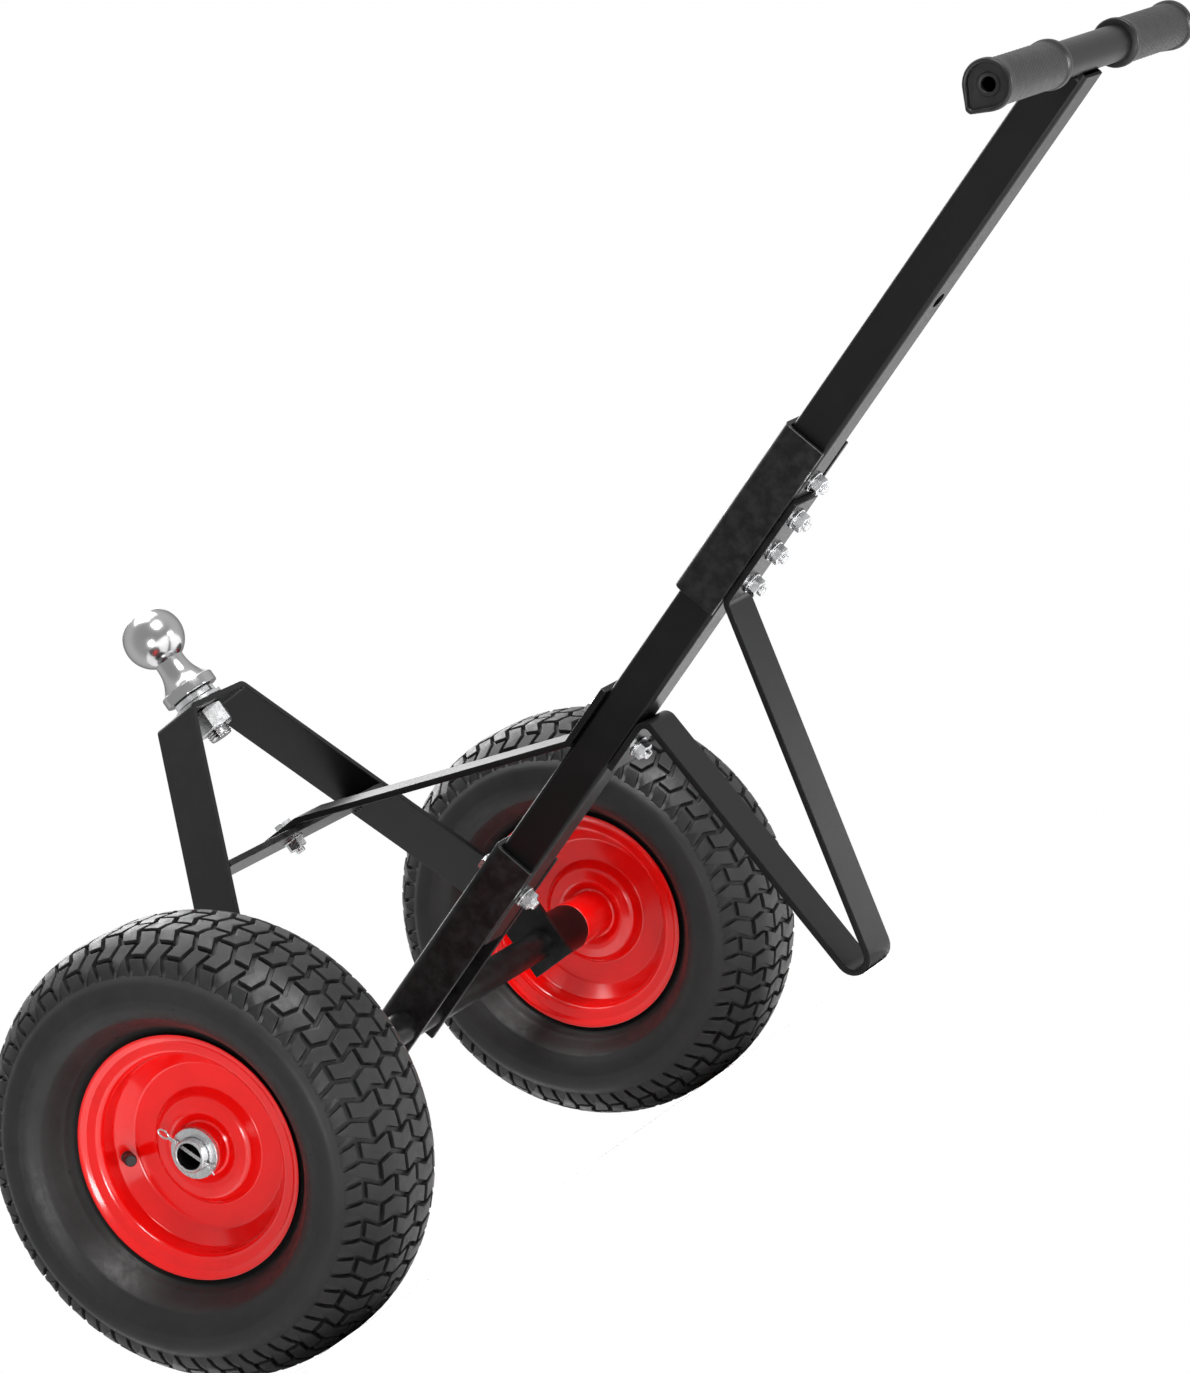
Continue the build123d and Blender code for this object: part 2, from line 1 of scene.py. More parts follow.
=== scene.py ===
"""Looks of the hand trailer dolly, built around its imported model.

Lengths are millimetres until a piece is made, and metres from then on. A piece is drawn about
the axle, about the handle's own axis or about a wheel, and its matrix takes it to the frame.
"""

import json
from math import acos, atan2, ceil, cos, hypot, pi, radians, sin, sqrt, tan

import bmesh
import bpy
from mathutils import Matrix, Vector, noise


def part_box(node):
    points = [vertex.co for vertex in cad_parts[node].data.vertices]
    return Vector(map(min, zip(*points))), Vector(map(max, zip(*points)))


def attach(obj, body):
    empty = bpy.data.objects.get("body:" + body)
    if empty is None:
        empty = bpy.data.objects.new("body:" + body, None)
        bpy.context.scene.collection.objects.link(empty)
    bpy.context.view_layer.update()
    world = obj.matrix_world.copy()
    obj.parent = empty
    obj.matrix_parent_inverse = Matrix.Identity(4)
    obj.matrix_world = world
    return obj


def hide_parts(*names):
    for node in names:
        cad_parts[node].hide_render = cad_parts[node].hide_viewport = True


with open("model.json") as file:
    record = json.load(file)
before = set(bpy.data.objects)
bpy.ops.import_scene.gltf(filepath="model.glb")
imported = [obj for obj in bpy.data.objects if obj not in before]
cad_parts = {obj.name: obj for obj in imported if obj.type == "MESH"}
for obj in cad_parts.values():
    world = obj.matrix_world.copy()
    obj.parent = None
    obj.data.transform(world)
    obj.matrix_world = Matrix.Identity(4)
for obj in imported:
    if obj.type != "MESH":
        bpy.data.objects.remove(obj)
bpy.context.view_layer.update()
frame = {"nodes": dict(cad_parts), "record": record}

MM = 0.001
TURN = 2 * pi
SIDES = (("left", -1), ("right", 1))

# ---- sizes ----------------------------------------------------------------------------
STRAP_W, STRAP_T, STRAP_BEND = 40.0, 5.0, 4.0
EDGE = 0.7  # rounding of a strap's long edges
A_TOP, A_TOP_HALF, A_FOOT_Y, A_FOOT_Z, A_TAB = 290.0, 38.5, 208.0, 45.5, 20.0
BRACE_Z = 165.5
HANDLE_ANGLE, HANDLE_RISE = 16.0, 2.0
HALF_TUBE = 31.75 / 2
CHANNEL_HALF, CHANNEL_T, CHANNEL_BEND = 23.0, 4.0, 6.0
AXLE_CHANNEL = (-17.0, 172.0)
SPLICE_CHANNEL = (428.5, 580.5)
TBAR_S, TBAR_R, TBAR_L = 917.0, 12.7, 336.0
GRIP_L, GRIP_R, GRIP_END, GRIP_FLANGE_R, GRIP_FLANGE_T = 107.0, 16.0, 4.0, 17.5, 6.0
KICK_TOP, KICK_LOW, KICK_W = (440.75, 535.75), (279.0, 331.0), 38.0
KICK_FOOT_X, KICK_FOOT_BEND = 343.0, 9.0
LONG_FRONT, LONG_NOSE, LONG_BEND_X, LONG_SEAT = -20.0, 14.0, 24.0, (272.0, 326.0)
BOLT_R, BOLT_AF, HEAD_T, NUT_T, BOLT_PROUD = 4.0, 13.0, 5.3, 6.8, 3.5
BOLT_WASHER_R, BOLT_WASHER_T = 8.5, 1.6
BOLT_PITCH, SHANK_PITCH = 1.25, 2.0
BUTTON_R, BUTTON_T, BUTTON_KEY = 7.0, 4.4, 5.0
CHANNEL_BOLT_S, KICK_BOLT_S = 142.0, 299.5
NUT_TURN = Matrix.Rotation(radians(17), 4, "Z")  # nuts stop where they are tight, not in line with heads
SPLICE_BOLT_S = (458.75, 489.25, 519.75, 550.25)
BALL_R, BALL_H, SHANK_R, SHANK_BELOW = 23.8, 62.0, 9.5, 30.0
FLAT_T, FLAT_R, SPRING_T, SPRING_R = 3.5, 20.0, 6.0, 17.0
BALL_FLANGE_R, BALL_FLANGE_T, BALL_AF, NECK_R = 22.0, 9.0, 40.0, 12.0
BALL_NUT_AF, BALL_NUT_T = 28.6, 18.0
AXLE_R, AXLE_WALL, WASHER_R, HUB_R = 12.0, 2.5, 18.75, 19.0
PIN_TILT, PIN_EYE, PIN_TAIL, PIN_WIRE = 24.0, 26.0, 21.0, 0.8
TYRE_R, TYRE_HALF, RIM_R, SEAT_R, RIM_SHEET = 165.0, 60.0, 88.9, 75.5, 2.5
TREAD_H = 4.0
HUB_SPAN = (-53.0, 20.0)
VALVE_ANGLE = 156.2

# ---- places ---------------------------------------------------------------------------
axle_low, axle_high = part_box("axle_tube")
AXLE_CENTRE = (axle_low + axle_high) / 2
AXLE = Matrix.Translation(AXLE_CENTRE) @ Matrix.Scale(MM, 4)
HANDLE = AXLE @ Matrix.Rotation(radians(-HANDLE_ANGLE), 4, "Y") @ Matrix.Translation((0, 0, HANDLE_RISE))


def mirrored(sign):
    """Across the dolly's middle plane for a sign of -1, and nothing for 1."""
    return Matrix.Scale(sign, 4, (0, 1, 0))


def upright(matrix, s=0.0):
    """A frame whose Z axis stands on the handle at station s."""
    return matrix @ Matrix.Translation((s, 0, 0))


# ---- outlines -------------------------------------------------------------------------
def corner_arc(before, corner, after, radius, steps):
    """Points of the arc that rounds one corner; the corner itself where it is straight."""
    a = (Vector(corner) - Vector(before)).normalized()
    b = (Vector(after) - Vector(corner)).normalized()
    turn = acos(max(-1.0, min(1.0, a.dot(b))))
    if turn < 1e-4 or radius < 1e-4:
        return [tuple(corner)]
    side = 1 if a.x * b.y - a.y * b.x > 0 else -1
    start = Vector(corner) - a * radius * tan(turn / 2)
    centre = start + Vector((-a.y, a.x)) * radius * side
    spoke = start - centre
    out = []
    for k in range(steps + 1):
        angle = side * turn * k / steps
        x = centre.x + spoke.x * cos(angle) - spoke.y * sin(angle)
        y = centre.y + spoke.x * sin(angle) + spoke.y * cos(angle)
        out.append((x, y))
    return out


def rounded(points, radii, shift=0.0, steps=10):
    """Polyline moved sideways by shift (left is positive) with its corners rounded."""
    units = [(Vector(b) - Vector(a)).normalized() for a, b in zip(points, points[1:])]
    normals = [Vector((-u.y, u.x)) for u in units]
    moved = [Vector(points[0]) + normals[0] * shift]
    new_radii = []
    for i, radius in enumerate(radii, start=1):
        n, m = normals[i - 1], normals[i]
        moved.append(Vector(points[i]) + (n + m) * shift / (1 + n.dot(m)))
        left = n.x * m.y - n.y * m.x > 0
        new_radii.append(max(0.0, radius - shift if left else radius + shift) if radius else 0.0)
    moved.append(Vector(points[-1]) + normals[-1] * shift)
    line = [tuple(moved[0])]
    for i, radius in enumerate(new_radii, start=1):
        line += corner_arc(moved[i - 1], moved[i], moved[i + 1], radius, steps)
    line.append(tuple(moved[-1]))
    return line


def running(points):
    """Length along a polyline up to each of its points."""
    lengths = [0.0]
    for a, b in zip(points, points[1:]):
        lengths.append(lengths[-1] + hypot(b[0] - a[0], b[1] - a[1]))
    return lengths


def handle_point(s, n):
    """(x, z) about the axle of the point s along the handle and n above its centre line."""
    a = radians(HANDLE_ANGLE)
    n += HANDLE_RISE
    return (s * cos(a) - n * sin(a), s * sin(a) + n * cos(a))


def softened(loop, cut, sharp=40.0):
    """Closed outline with each sharp corner cut off."""
    out = []
    for i, p in enumerate(loop):
        before, here, after = Vector(loop[i - 1]), Vector(p), Vector(loop[(i + 1) % len(loop)])
        a, b = (here - before).normalized(), (after - here).normalized()
        if acos(max(-1.0, min(1.0, a.dot(b)))) > radians(sharp):
            out += [tuple(here - a * cut), tuple(here + b * cut)]
        else:
            out.append(tuple(here))
    return out


def inset(loop, depth):
    """Closed anticlockwise outline moved inwards."""
    out = []
    for i, p in enumerate(loop):
        a = (Vector(p) - Vector(loop[i - 1])).normalized()
        b = (Vector(loop[(i + 1) % len(loop)]) - Vector(p)).normalized()
        n, m = Vector((-a.y, a.x)), Vector((-b.y, b.x))
        out.append(tuple(Vector(p) + (n + m) * depth / max(0.4, 1 + n.dot(m))))
    return out


def anticlockwise(loop):
    """The outline, turned round if it runs clockwise."""
    area = sum(a[0] * b[1] - b[0] * a[1] for a, b in zip(loop, loop[1:] + loop[:1]))
    return loop if area > 0 else loop[::-1]


# ---- meshes ---------------------------------------------------------------------------
class Shape:
    """Vertices and faces gathered before they become one piece."""

    def __init__(self):
        self.verts, self.faces = [], []

    def add(self, verts, faces, matrix=None):
        """Append a mesh, moved by matrix."""
        start = len(self.verts)
        self.verts += [matrix @ Vector(v) if matrix else Vector(v) for v in verts]
        self.faces += [[start + i for i in face] for face in faces]
        return self


def skin(rings, around=True, caps=True, loop=False):
    """Faces over rings of equal length; loop joins the last ring to the first."""
    n, faces = len(rings[0]), []
    verts = [v for ring in rings for v in ring]
    for r in range(len(rings) if loop else len(rings) - 1):
        s = (r + 1) % len(rings)
        for k in range(n if around else n - 1):
            m = (k + 1) % n
            faces.append([r * n + k, r * n + m, s * n + m, s * n + k])
    if caps and not loop:
        faces.append(list(range(n))[::-1])
        faces.append([(len(rings) - 1) * n + k for k in range(n)])
    return verts, faces


def turned(axis, radius, station, angle):
    """The point at a radius and angle about the Y or Z axis, at a station along it."""
    u, v = radius * cos(angle), radius * sin(angle)
    return (u, station, v) if axis == "Y" else (u, v, station)


def lathe(loop, segments=96, axis="Y", closed=True, radius=None):
    """Outline of (radius, station) turned about an axis; radius(r, station, angle) may ripple it."""
    rings = []
    for k in range(segments):
        angle = TURN * k / segments
        rings.append([turned(axis, radius(r, y, angle) if radius else r, y, angle) for r, y in loop])
    return skin(rings, around=closed, caps=False, loop=True)


def polar(rings, segments=96, axis="Z", hollow=False):
    """Body about an axis from functions that give (radius, station) at an angle.

    Caps close its ends, or a hollow body's last ring joins its first.
    """
    angles = [TURN * k / segments for k in range(segments)]
    laid = [[turned(axis, *ring(a), a) for a in angles] for ring in rings]
    return skin(laid, caps=not hollow, loop=hollow)


def strip(points, radii, width, shift, plane, ends=(0.5, 0.5), half=None):
    """Flat bar bent along a polyline, between the line and the line moved by shift.

    plane puts (u, v, across) in space, ends are the cuts at its two end edges, and half may give
    half its width by the length along it.
    """
    front, back = rounded(points, radii), rounded(points, radii, shift)
    if shift > 0:
        front, back = back, front
    stations = [(Vector(a), Vector(b), at) for a, b, at in zip(front, back, running(front))]
    first = (stations[1][0] - stations[0][0]).normalized() * ends[0]
    last = (stations[-2][0] - stations[-1][0]).normalized() * ends[1]

    def ring(a, b, at, shrink=0.0):
        """Section with quarter-round corners, made smaller all round by shrink."""
        w = (half(at) if half else width / 2) - shrink
        e = (b - a).normalized()
        out = []
        for end, inward, near in ((a + e * shrink, e, 1), (b - e * shrink, -e, -1)):
            for side, turns in ((near, (0, 45, 90)), (-near, (90, 45, 0))):
                for t in map(radians, turns):
                    spot = end + inward * EDGE * (1 - sin(t))
                    out.append(plane(spot.x, spot.y, side * (w - EDGE * (1 - cos(t)))))
        return out

    rings = []
    for i, (a, b, at) in enumerate(stations):
        if i == 0 and ends[0]:
            rings += [ring(a, b, at, ends[0]), ring(a + first, b + first, at + ends[0])]
        elif i == len(stations) - 1 and ends[1]:
            rings += [ring(a + last, b + last, at), ring(a, b, at, ends[1])]
        else:
            rings.append(ring(a, b, at))
    return skin(rings)


def extruded(loop, start, end, cut=0.5):
    """Closed outline of (y, z) pushed along X, its end edges cut."""
    loop = anticlockwise(loop)
    small = inset(loop, cut)
    stations = [(start, small), (start + cut, loop), (end - cut, loop), (end, small)]
    return skin([[(s, y, z) for y, z in ring] for s, ring in stations])


def wire(path, radius, sides=10):
    """Round wire along a list of points; radius may be a function of the share of its length."""
    path = [Vector(p) for p in path]
    ahead, behind = path[1:] + path[-1:], path[:1] + path[:-1]
    tangents = [(b - a).normalized() for a, b in zip(behind, ahead)]
    seed = Vector((0, 1, 0)) if abs(tangents[0].y) < 0.9 else Vector((1, 0, 0))
    across = tangents[0].cross(seed).normalized()
    rings = []
    for i, (p, t) in enumerate(zip(path, tangents)):
        across = (across - t * across.dot(t)).normalized()
        other = t.cross(across)
        r = radius(i / (len(path) - 1)) if callable(radius) else radius
        angles = [TURN * k / sides for k in range(sides)]
        rings.append([tuple(p + across * r * cos(a) + other * r * sin(a)) for a in angles])
    return skin(rings)


def weld(start, end, radius=2.2):
    """Bead of overlapping ripples between two points."""
    start, end = Vector(start), Vector(end)
    count = max(12, ceil((end - start).length / 0.6))
    path = [start.lerp(end, k / count) for k in range(count + 1)]

    def ripple(t):
        """Radius by the share of the bead's length, thin at both ends."""
        swell = 0.12 * cos(t * count * TURN / 5) + 0.12 * noise.noise(start + Vector((t * 9, 0, 0)))
        return radius * (1 + swell) * min(1.0, 0.35 + 8 * min(t, 1 - t))

    return wire(path, ripple, 12)


def hex_radius(across_flats, angle):
    """Distance from a hexagon's middle to its side at an angle."""
    return across_flats / 2 / cos((angle % (TURN / 6)) - TURN / 12)


def hexagon(across_flats, low, high, bore=0.0, washer_face=True):
    """Hex head or nut whose corners are turned off by a cone, with an optional countersunk bore."""
    face = across_flats / 2 * 0.94
    slope = tan(radians(27))

    def turned_off(z, sign):
        """The hexagon at one end, falling back from it towards its corners."""

        def ring(a):
            reach = hex_radius(across_flats, a)
            return reach, z - sign * (reach - face) * slope

        return ring

    rings = [lambda a: (face, low), turned_off(low, -1), turned_off(high, 1), lambda a: (face, high)]
    if bore:
        sink = bore + 0.9
        rings = [lambda a: (bore, low + 0.8), lambda a: (sink, low)] + rings
        rings += [lambda a: (sink, high), lambda a: (bore, high - 0.8)]
    return polar(rings, 72, hollow=bore > 0)


def threaded(radius, pitch, low, high, segments=36):
    """Rod about Z with a helical thread and a turned-off lower tip."""
    depth = 0.6 * pitch
    steps = ceil((high - low) / pitch * 8)
    rings = []
    for i in range(steps + 1):
        z = low + (high - low) * i / steps
        tip = min(1.0, (z - low) / pitch)
        ring = []
        for k in range(segments):
            a = TURN * k / segments
            phase = (z / pitch - a / TURN) % 1
            groove = 1 - min(1.0, 2.4 * abs(phase - 0.5))
            r = min(radius - depth * groove, radius - depth * (1 - tip))
            ring.append(turned("Z", r, z, a))
        rings.append(ring)
    return skin(rings)


def washer(outer, inner, low, high, axis="Z", edge=0.3):
    """Flat ring with rounded rims."""
    loop = [(inner, low + edge), (inner + edge, low), (outer - edge, low), (outer, low + edge)]
    loop += [(outer, high - edge), (outer - edge, high), (inner + edge, high), (inner, high - edge)]
    return lathe(loop, 72, axis)


# ---- materials ------------------------------------------------------------------------
def set_stops(ramp, stops):
    """Give a colour ramp its stops, each a place and a colour or a grey level."""
    elements = ramp.color_ramp.elements
    while len(elements) < len(stops):
        elements.new(0.5)
    for element, (at, value) in zip(elements, stops):
        element.position = at
        element.color = (*value, 1.0) if isinstance(value, tuple) else (value, value, value, 1.0)


class Look:
    """One node material about a Principled shader, in object coordinates."""

    def __init__(self, name, **sockets):
        self.material = bpy.data.materials.new(name)
        self.material.use_nodes = True
        self.tree = self.material.node_tree
        self.shader = self.tree.nodes["Principled BSDF"]
        self.place = self.node("ShaderNodeTexCoord").outputs["Object"]
        self.height = None
        for key, value in sockets.items():
            self.shader.inputs[key.replace("_", " ")].default_value = value

    def node(self, kind, links=(), **values):
        """Add a node, set its plain values and link its inputs."""
        made = self.tree.nodes.new(kind)
        for key, value in values.items():
            if key in made.inputs:
                made.inputs[key].default_value = value
            else:
                setattr(made, key, value)
        for key, source in links:
            self.tree.links.new(source, made.inputs[key])
        return made

    def noise(self, scale, detail=4.0, roughness=0.55):
        """Fractal noise, scale in cells per metre."""
        links = [("Vector", self.place)]
        made = self.node("ShaderNodeTexNoise", links, Scale=scale, Detail=detail, Roughness=roughness)
        return made.outputs["Fac"]

    def cells(self, scale):
        """Distance to the nearest cell centre."""
        return self.node("ShaderNodeTexVoronoi", [("Vector", self.place)], Scale=scale).outputs["Distance"]

    def ramp(self, source, stops):
        """Colours or levels over a source."""
        made = self.node("ShaderNodeValToRGB", [("Fac", source)])
        set_stops(made, stops)
        return made.outputs["Color"]

    def mix(self, share, a, b):
        """Blend two colours by a share; the second may be a plain colour."""
        made = self.node("ShaderNodeMix", data_type="RGBA")
        self.tree.links.new(share, made.inputs[0])
        self.tree.links.new(a, made.inputs[6])
        if isinstance(b, tuple):
            made.inputs[7].default_value = (*b, 1.0)
        else:
            self.tree.links.new(b, made.inputs[7])
        return made.outputs[2]

    def paint(self, socket, source):
        """Link a source to one of the shader's sockets."""
        self.tree.links.new(source, self.shader.inputs[socket])

    def bump(self, source, depth, strength=1.0):
        """Stack a relief of the given depth in metres."""
        links = [("Height", source)]
        if self.height:
            links.append(("Normal", self.height))
        made = self.node("ShaderNodeBump", links, Strength=strength, Distance=depth)
        self.height = made.outputs["Normal"]
        self.paint("Normal", self.height)

    def edge_wear(self, base, worn, amount):
        """Lighten convex edges where the finish has rubbed thin."""
        point = self.node("ShaderNodeNewGeometry").outputs["Pointiness"]
        edge = self.ramp(point, [(0.53, 0.0), (0.60, amount)])
        patch = self.ramp(self.noise(90, 6, 0.7), [(0.42, 0.0), (0.62, 1.0)])
        both = self.node("ShaderNodeMath", [(0, edge), (1, patch)], operation="MULTIPLY").outputs[0]
        return self.mix(both, base, worn)


def powder_coat(name, wear):
    """Satin black powder coat, rubbed thin along its edges by the share wear."""
    look = Look(name, Specular_IOR_Level=0.24)
    base = look.ramp(look.noise(22, 5), [(0.35, (0.0036, 0.0036, 0.0038)), (0.7, (0.0050, 0.0050, 0.0052))])
    look.paint("Base Color", look.edge_wear(base, (0.035, 0.035, 0.037), wear))
    look.paint("Roughness", look.ramp(look.noise(45, 4), [(0.3, 0.32), (0.7, 0.36)]))
    look.bump(look.noise(800, 3), 0.00006, 0.3)
    return look.material


def red_enamel():
    """Glossy red enamel, a little wavy like paint on pressed sheet."""
    look = Look("red_enamel", Specular_IOR_Level=0.3, Coat_Weight=1.0, Coat_Roughness=0.12)
    base = look.ramp(look.noise(14, 4), [(0.3, (0.80, 0.0015, 0.001)), (0.7, (0.93, 0.004, 0.003))])
    look.paint("Base Color", base)
    look.paint("Roughness", look.ramp(look.noise(40, 5), [(0.3, 0.16), (0.7, 0.24)]))
    look.bump(look.noise(32, 2), 0.0010, 0.22)
    look.bump(look.noise(420, 2), 0.00003, 0.3)
    return look.material


def chrome():
    """Bright plate, a little soft, so that the lights spread over the ball."""
    look = Look("chrome", Metallic=1.0, Specular_Tint=(0.35, 0.34, 0.34, 1.0))
    base = look.ramp(look.noise(30), [(0.3, (0.56, 0.56, 0.57)), (0.7, (0.64, 0.64, 0.64))])
    look.paint("Base Color", base)
    look.paint("Roughness", look.ramp(look.noise(60, 5, 0.6), [(0.2, 0.17), (0.8, 0.21)]))
    return look.material


def zinc():
    """Zinc plate with fine spangles and duller patches."""
    look = Look("zinc_plate", Metallic=1.0, Specular_Tint=(0.6, 0.6, 0.62, 1.0))
    spangle = look.ramp(look.cells(420), [(0.0, (0.74, 0.75, 0.76)), (0.8, (0.86, 0.87, 0.88))])
    stain = look.ramp(look.noise(120, 6), [(0.45, (0.86, 0.87, 0.88)), (0.8, (0.66, 0.65, 0.63))])
    share = look.ramp(look.noise(50), [(0.4, 0.2), (0.6, 0.7)])
    look.paint("Base Color", look.mix(share, spangle, stain))
    look.paint("Roughness", look.ramp(look.noise(260, 6, 0.7), [(0.3, 0.20), (0.7, 0.33)]))
    look.bump(look.noise(900, 3), 0.00003, 0.3)
    return look.material


def tyre_rubber():
    """Dark satin rubber, paler where its edges are scuffed."""
    look = Look("tyre_rubber", Specular_IOR_Level=0.36)
    stops = [(0.3, (0.0115, 0.0115, 0.0118)), (0.7, (0.0175, 0.0175, 0.0178))]
    base = look.ramp(look.noise(26, 6, 0.65), stops)
    look.paint("Base Color", look.edge_wear(base, (0.05, 0.05, 0.05), 0.5))
    look.paint("Roughness", look.ramp(look.noise(130, 6, 0.7), [(0.35, 0.36), (0.65, 0.52)]))
    look.bump(look.noise(1100, 5, 0.7), 0.00016, 0.5)
    look.bump(look.noise(150, 4), 0.0004, 0.3)
    return look.material


def grip_rubber():
    """Soft black rubber, darker than the tyres'."""
    look = Look("grip_rubber", Specular_IOR_Level=0.36)
    base = look.ramp(look.noise(45, 5), [(0.3, (0.007, 0.007, 0.0072)), (0.7, (0.011, 0.011, 0.0112))])
    look.paint("Base Color", look.edge_wear(base, (0.03, 0.03, 0.03), 0.4))
    look.paint("Roughness", look.ramp(look.noise(200, 5), [(0.35, 0.34), (0.7, 0.46)]))
    look.bump(look.noise(1400, 4), 0.00008, 0.5)
    return look.material


def moulded(name, dark, light, rough, grain):
    """Plain moulded rubber or plastic with a fine grain."""
    look = Look(name)
    look.paint("Base Color", look.ramp(look.noise(60, 4), [(0.3, dark), (0.7, light)]))
    look.paint("Roughness", look.ramp(look.noise(220, 4), [(0.3, rough - 0.07), (0.7, rough + 0.07)]))
    look.bump(look.noise(grain, 3), 0.00006, 0.4)
    return look.material


MATERIALS = {
    "black_powder_coat": powder_coat("black_powder_coat", 0.4),
    "red_paint": red_enamel(),
    "chrome": chrome(),
    "zinc": zinc(),
    "tyre_rubber": tyre_rubber(),
    "grip_rubber": grip_rubber(),
    "butyl": moulded("butyl", (0.018, 0.018, 0.018), (0.030, 0.030, 0.030), 0.5, 900),
    "nylon": moulded("nylon", (0.52, 0.50, 0.44), (0.62, 0.60, 0.54), 0.45, 700),
    "cap_plastic": moulded("cap_plastic", (0.014, 0.014, 0.014), (0.028, 0.028, 0.028), 0.42, 1200),
}


def piece(name, shape, slot, body="chassis", stands_for=None, smooth=35.0):
    """Make one piece from a shape in metres: clean normals, material, body and the node it replaces."""
    mesh = bpy.data.meshes.new(name)
    mesh.from_pydata([tuple(v) for v in shape.verts], [], shape.faces)
    work = bmesh.new()
    work.from_mesh(mesh)
    bmesh.ops.remove_doubles(work, verts=work.verts, dist=1e-7)
    bmesh.ops.recalc_face_normals(work, faces=work.faces)
    work.to_mesh(mesh)
    work.free()
    mesh.polygons.foreach_set("use_smooth", [True] * len(mesh.polygons))
    mesh.set_sharp_from_angle(angle=radians(smooth))
    mesh.materials.append(MATERIALS[slot])
    made = bpy.data.objects.new(name, mesh)
    bpy.context.scene.collection.objects.link(made)
    even = made.modifiers.new("even_normals", "WEIGHTED_NORMAL")
    even.keep_sharp = True
    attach(made, body)
    if stands_for:
        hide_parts(stands_for)
    return made


# ---- frame straps ---------------------------------------------------------------------
def across_x(y, z, x):
    """A strip drawn in the YZ plane, as wide as X."""
    return (x, y, z)


def across_y(x, z, y):
    """A strip drawn in the XZ plane, as wide as Y."""
    return (x, y, z)


OUTER_BEND = STRAP_BEND + STRAP_T
LEG_SLOPE = (A_FOOT_Y - A_TOP_HALF) / (A_TOP - A_FOOT_Z)
LEG_INSET = STRAP_T * sqrt(1 + LEG_SLOPE**2)


def leg_inside(z):
    """Half the clear width between the slanting legs at height z."""
    return A_TOP_HALF + (A_TOP - z) * LEG_SLOPE - LEG_INSET


def foot_corner(high, low):
    """Height of the kickstand's inner corner whose rounded foot just meets the ground."""
    z = -TYRE_R
    for _ in range(30):  # each pass lifts the corner by what the foot still misses the ground by
        high_a = atan2(high[1] - z, high[0] - KICK_FOOT_X)
        low_a = atan2(low[1] - z, low[0] - KICK_FOOT_X)
        centre = z + KICK_FOOT_BEND / sin((low_a - high_a) / 2) * sin((low_a + high_a) / 2)
        z -= centre - KICK_FOOT_BEND - STRAP_T + TYRE_R
    return z


def make_frame():
    """A-frame, cross brace with its welds, long brace and kickstand."""
    leg = [(A_TOP_HALF, A_TOP), (A_FOOT_Y, A_FOOT_Z), (A_FOOT_Y, -A_TAB)]
    line = [(-y, z) for y, z in leg[::-1]] + leg
    bar = strip(line, [OUTER_BEND] * 4, STRAP_W, -STRAP_T, across_x)
    piece("a_frame_bar", Shape().add(*bar, AXLE), "black_powder_coat", stands_for="a_frame")

    reach = (leg_inside(BRACE_Z) + leg_inside(BRACE_Z + STRAP_T)) / 2
    bar = strip([(-reach, BRACE_Z), (reach, BRACE_Z)], [], STRAP_W, STRAP_T, across_x, ends=(0, 0))
    brace = Shape().add(*bar, AXLE)
    for side in (-1, 1):
        for z in (BRACE_Z + 0.2, BRACE_Z + STRAP_T - 0.2):
            y = side * (leg_inside(z) - 0.4)
            brace.add(*weld((-STRAP_W / 2 + 2, y, z), (STRAP_W / 2 - 2, y, z)), AXLE)
    piece("cross_brace_bar", brace, "black_powder_coat", stands_for="cross_brace")

    top = BRACE_Z + STRAP_T
    steps = [LONG_NOSE * (1 - cos(radians(a))) for a in range(10, 91, 10)]
    line = [(LONG_FRONT, top)] + [(LONG_FRONT + d, top) for d in steps] + [(LONG_BEND_X, top)]
    line += [handle_point(s, HALF_TUBE) for s in LONG_SEAT]
    bends = [0] * len(steps) + [OUTER_BEND, OUTER_BEND]

    def half(at):
        """Half the strap's width, its front corners rounded by the nose radius."""
        inside = max(0.0, LONG_NOSE - at)
        return STRAP_W / 2 - LONG_NOSE + sqrt(max(0.0, LONG_NOSE**2 - inside**2))

    bar = strip(line, bends, STRAP_W, STRAP_T, across_y, half=half)
    piece("long_brace_bar", Shape().add(*bar, AXLE), "black_powder_coat", stands_for="long_brace")

    high, low = handle_point(KICK_TOP[0], -HALF_TUBE), handle_point(KICK_LOW[1], -HALF_TUBE)
    foot = (KICK_FOOT_X, foot_corner(high, low))
    line = [handle_point(KICK_TOP[1], -HALF_TUBE), high, foot, low, handle_point(KICK_LOW[0], -HALF_TUBE)]
    bends = [OUTER_BEND, KICK_FOOT_BEND, OUTER_BEND]
    bar = strip(line, bends, KICK_W, STRAP_T, across_y)
    piece("kickstand_bar", Shape().add(*bar, AXLE), "black_powder_coat", stands_for="kickstand")


# ---- handle ---------------------------------------------------------------------------
def make_channels():
    """Two U-channels over the handle's tubes."""
    web = HALF_TUBE + CHANNEL_T
    flange = [(CHANNEL_HALF, web), (CHANNEL_HALF, -HALF_TUBE)]
    line = [(-y, z) for y, z in flange[::-1]] + flange
    outside = rounded(line, [CHANNEL_BEND] * 2)
    inside = rounded(line, [CHANNEL_BEND] * 2, -CHANNEL_T)
    loop = softened(outside + inside[::-1], 0.5)
    for name, (start, end) in (("axle_channel", AXLE_CHANNEL), ("splice_channel", SPLICE_CHANNEL)):
        shape = Shape().add(*extruded(loop, start, end), HANDLE)
        piece(f"{name}_bar", shape, "black_powder_coat", stands_for=name)


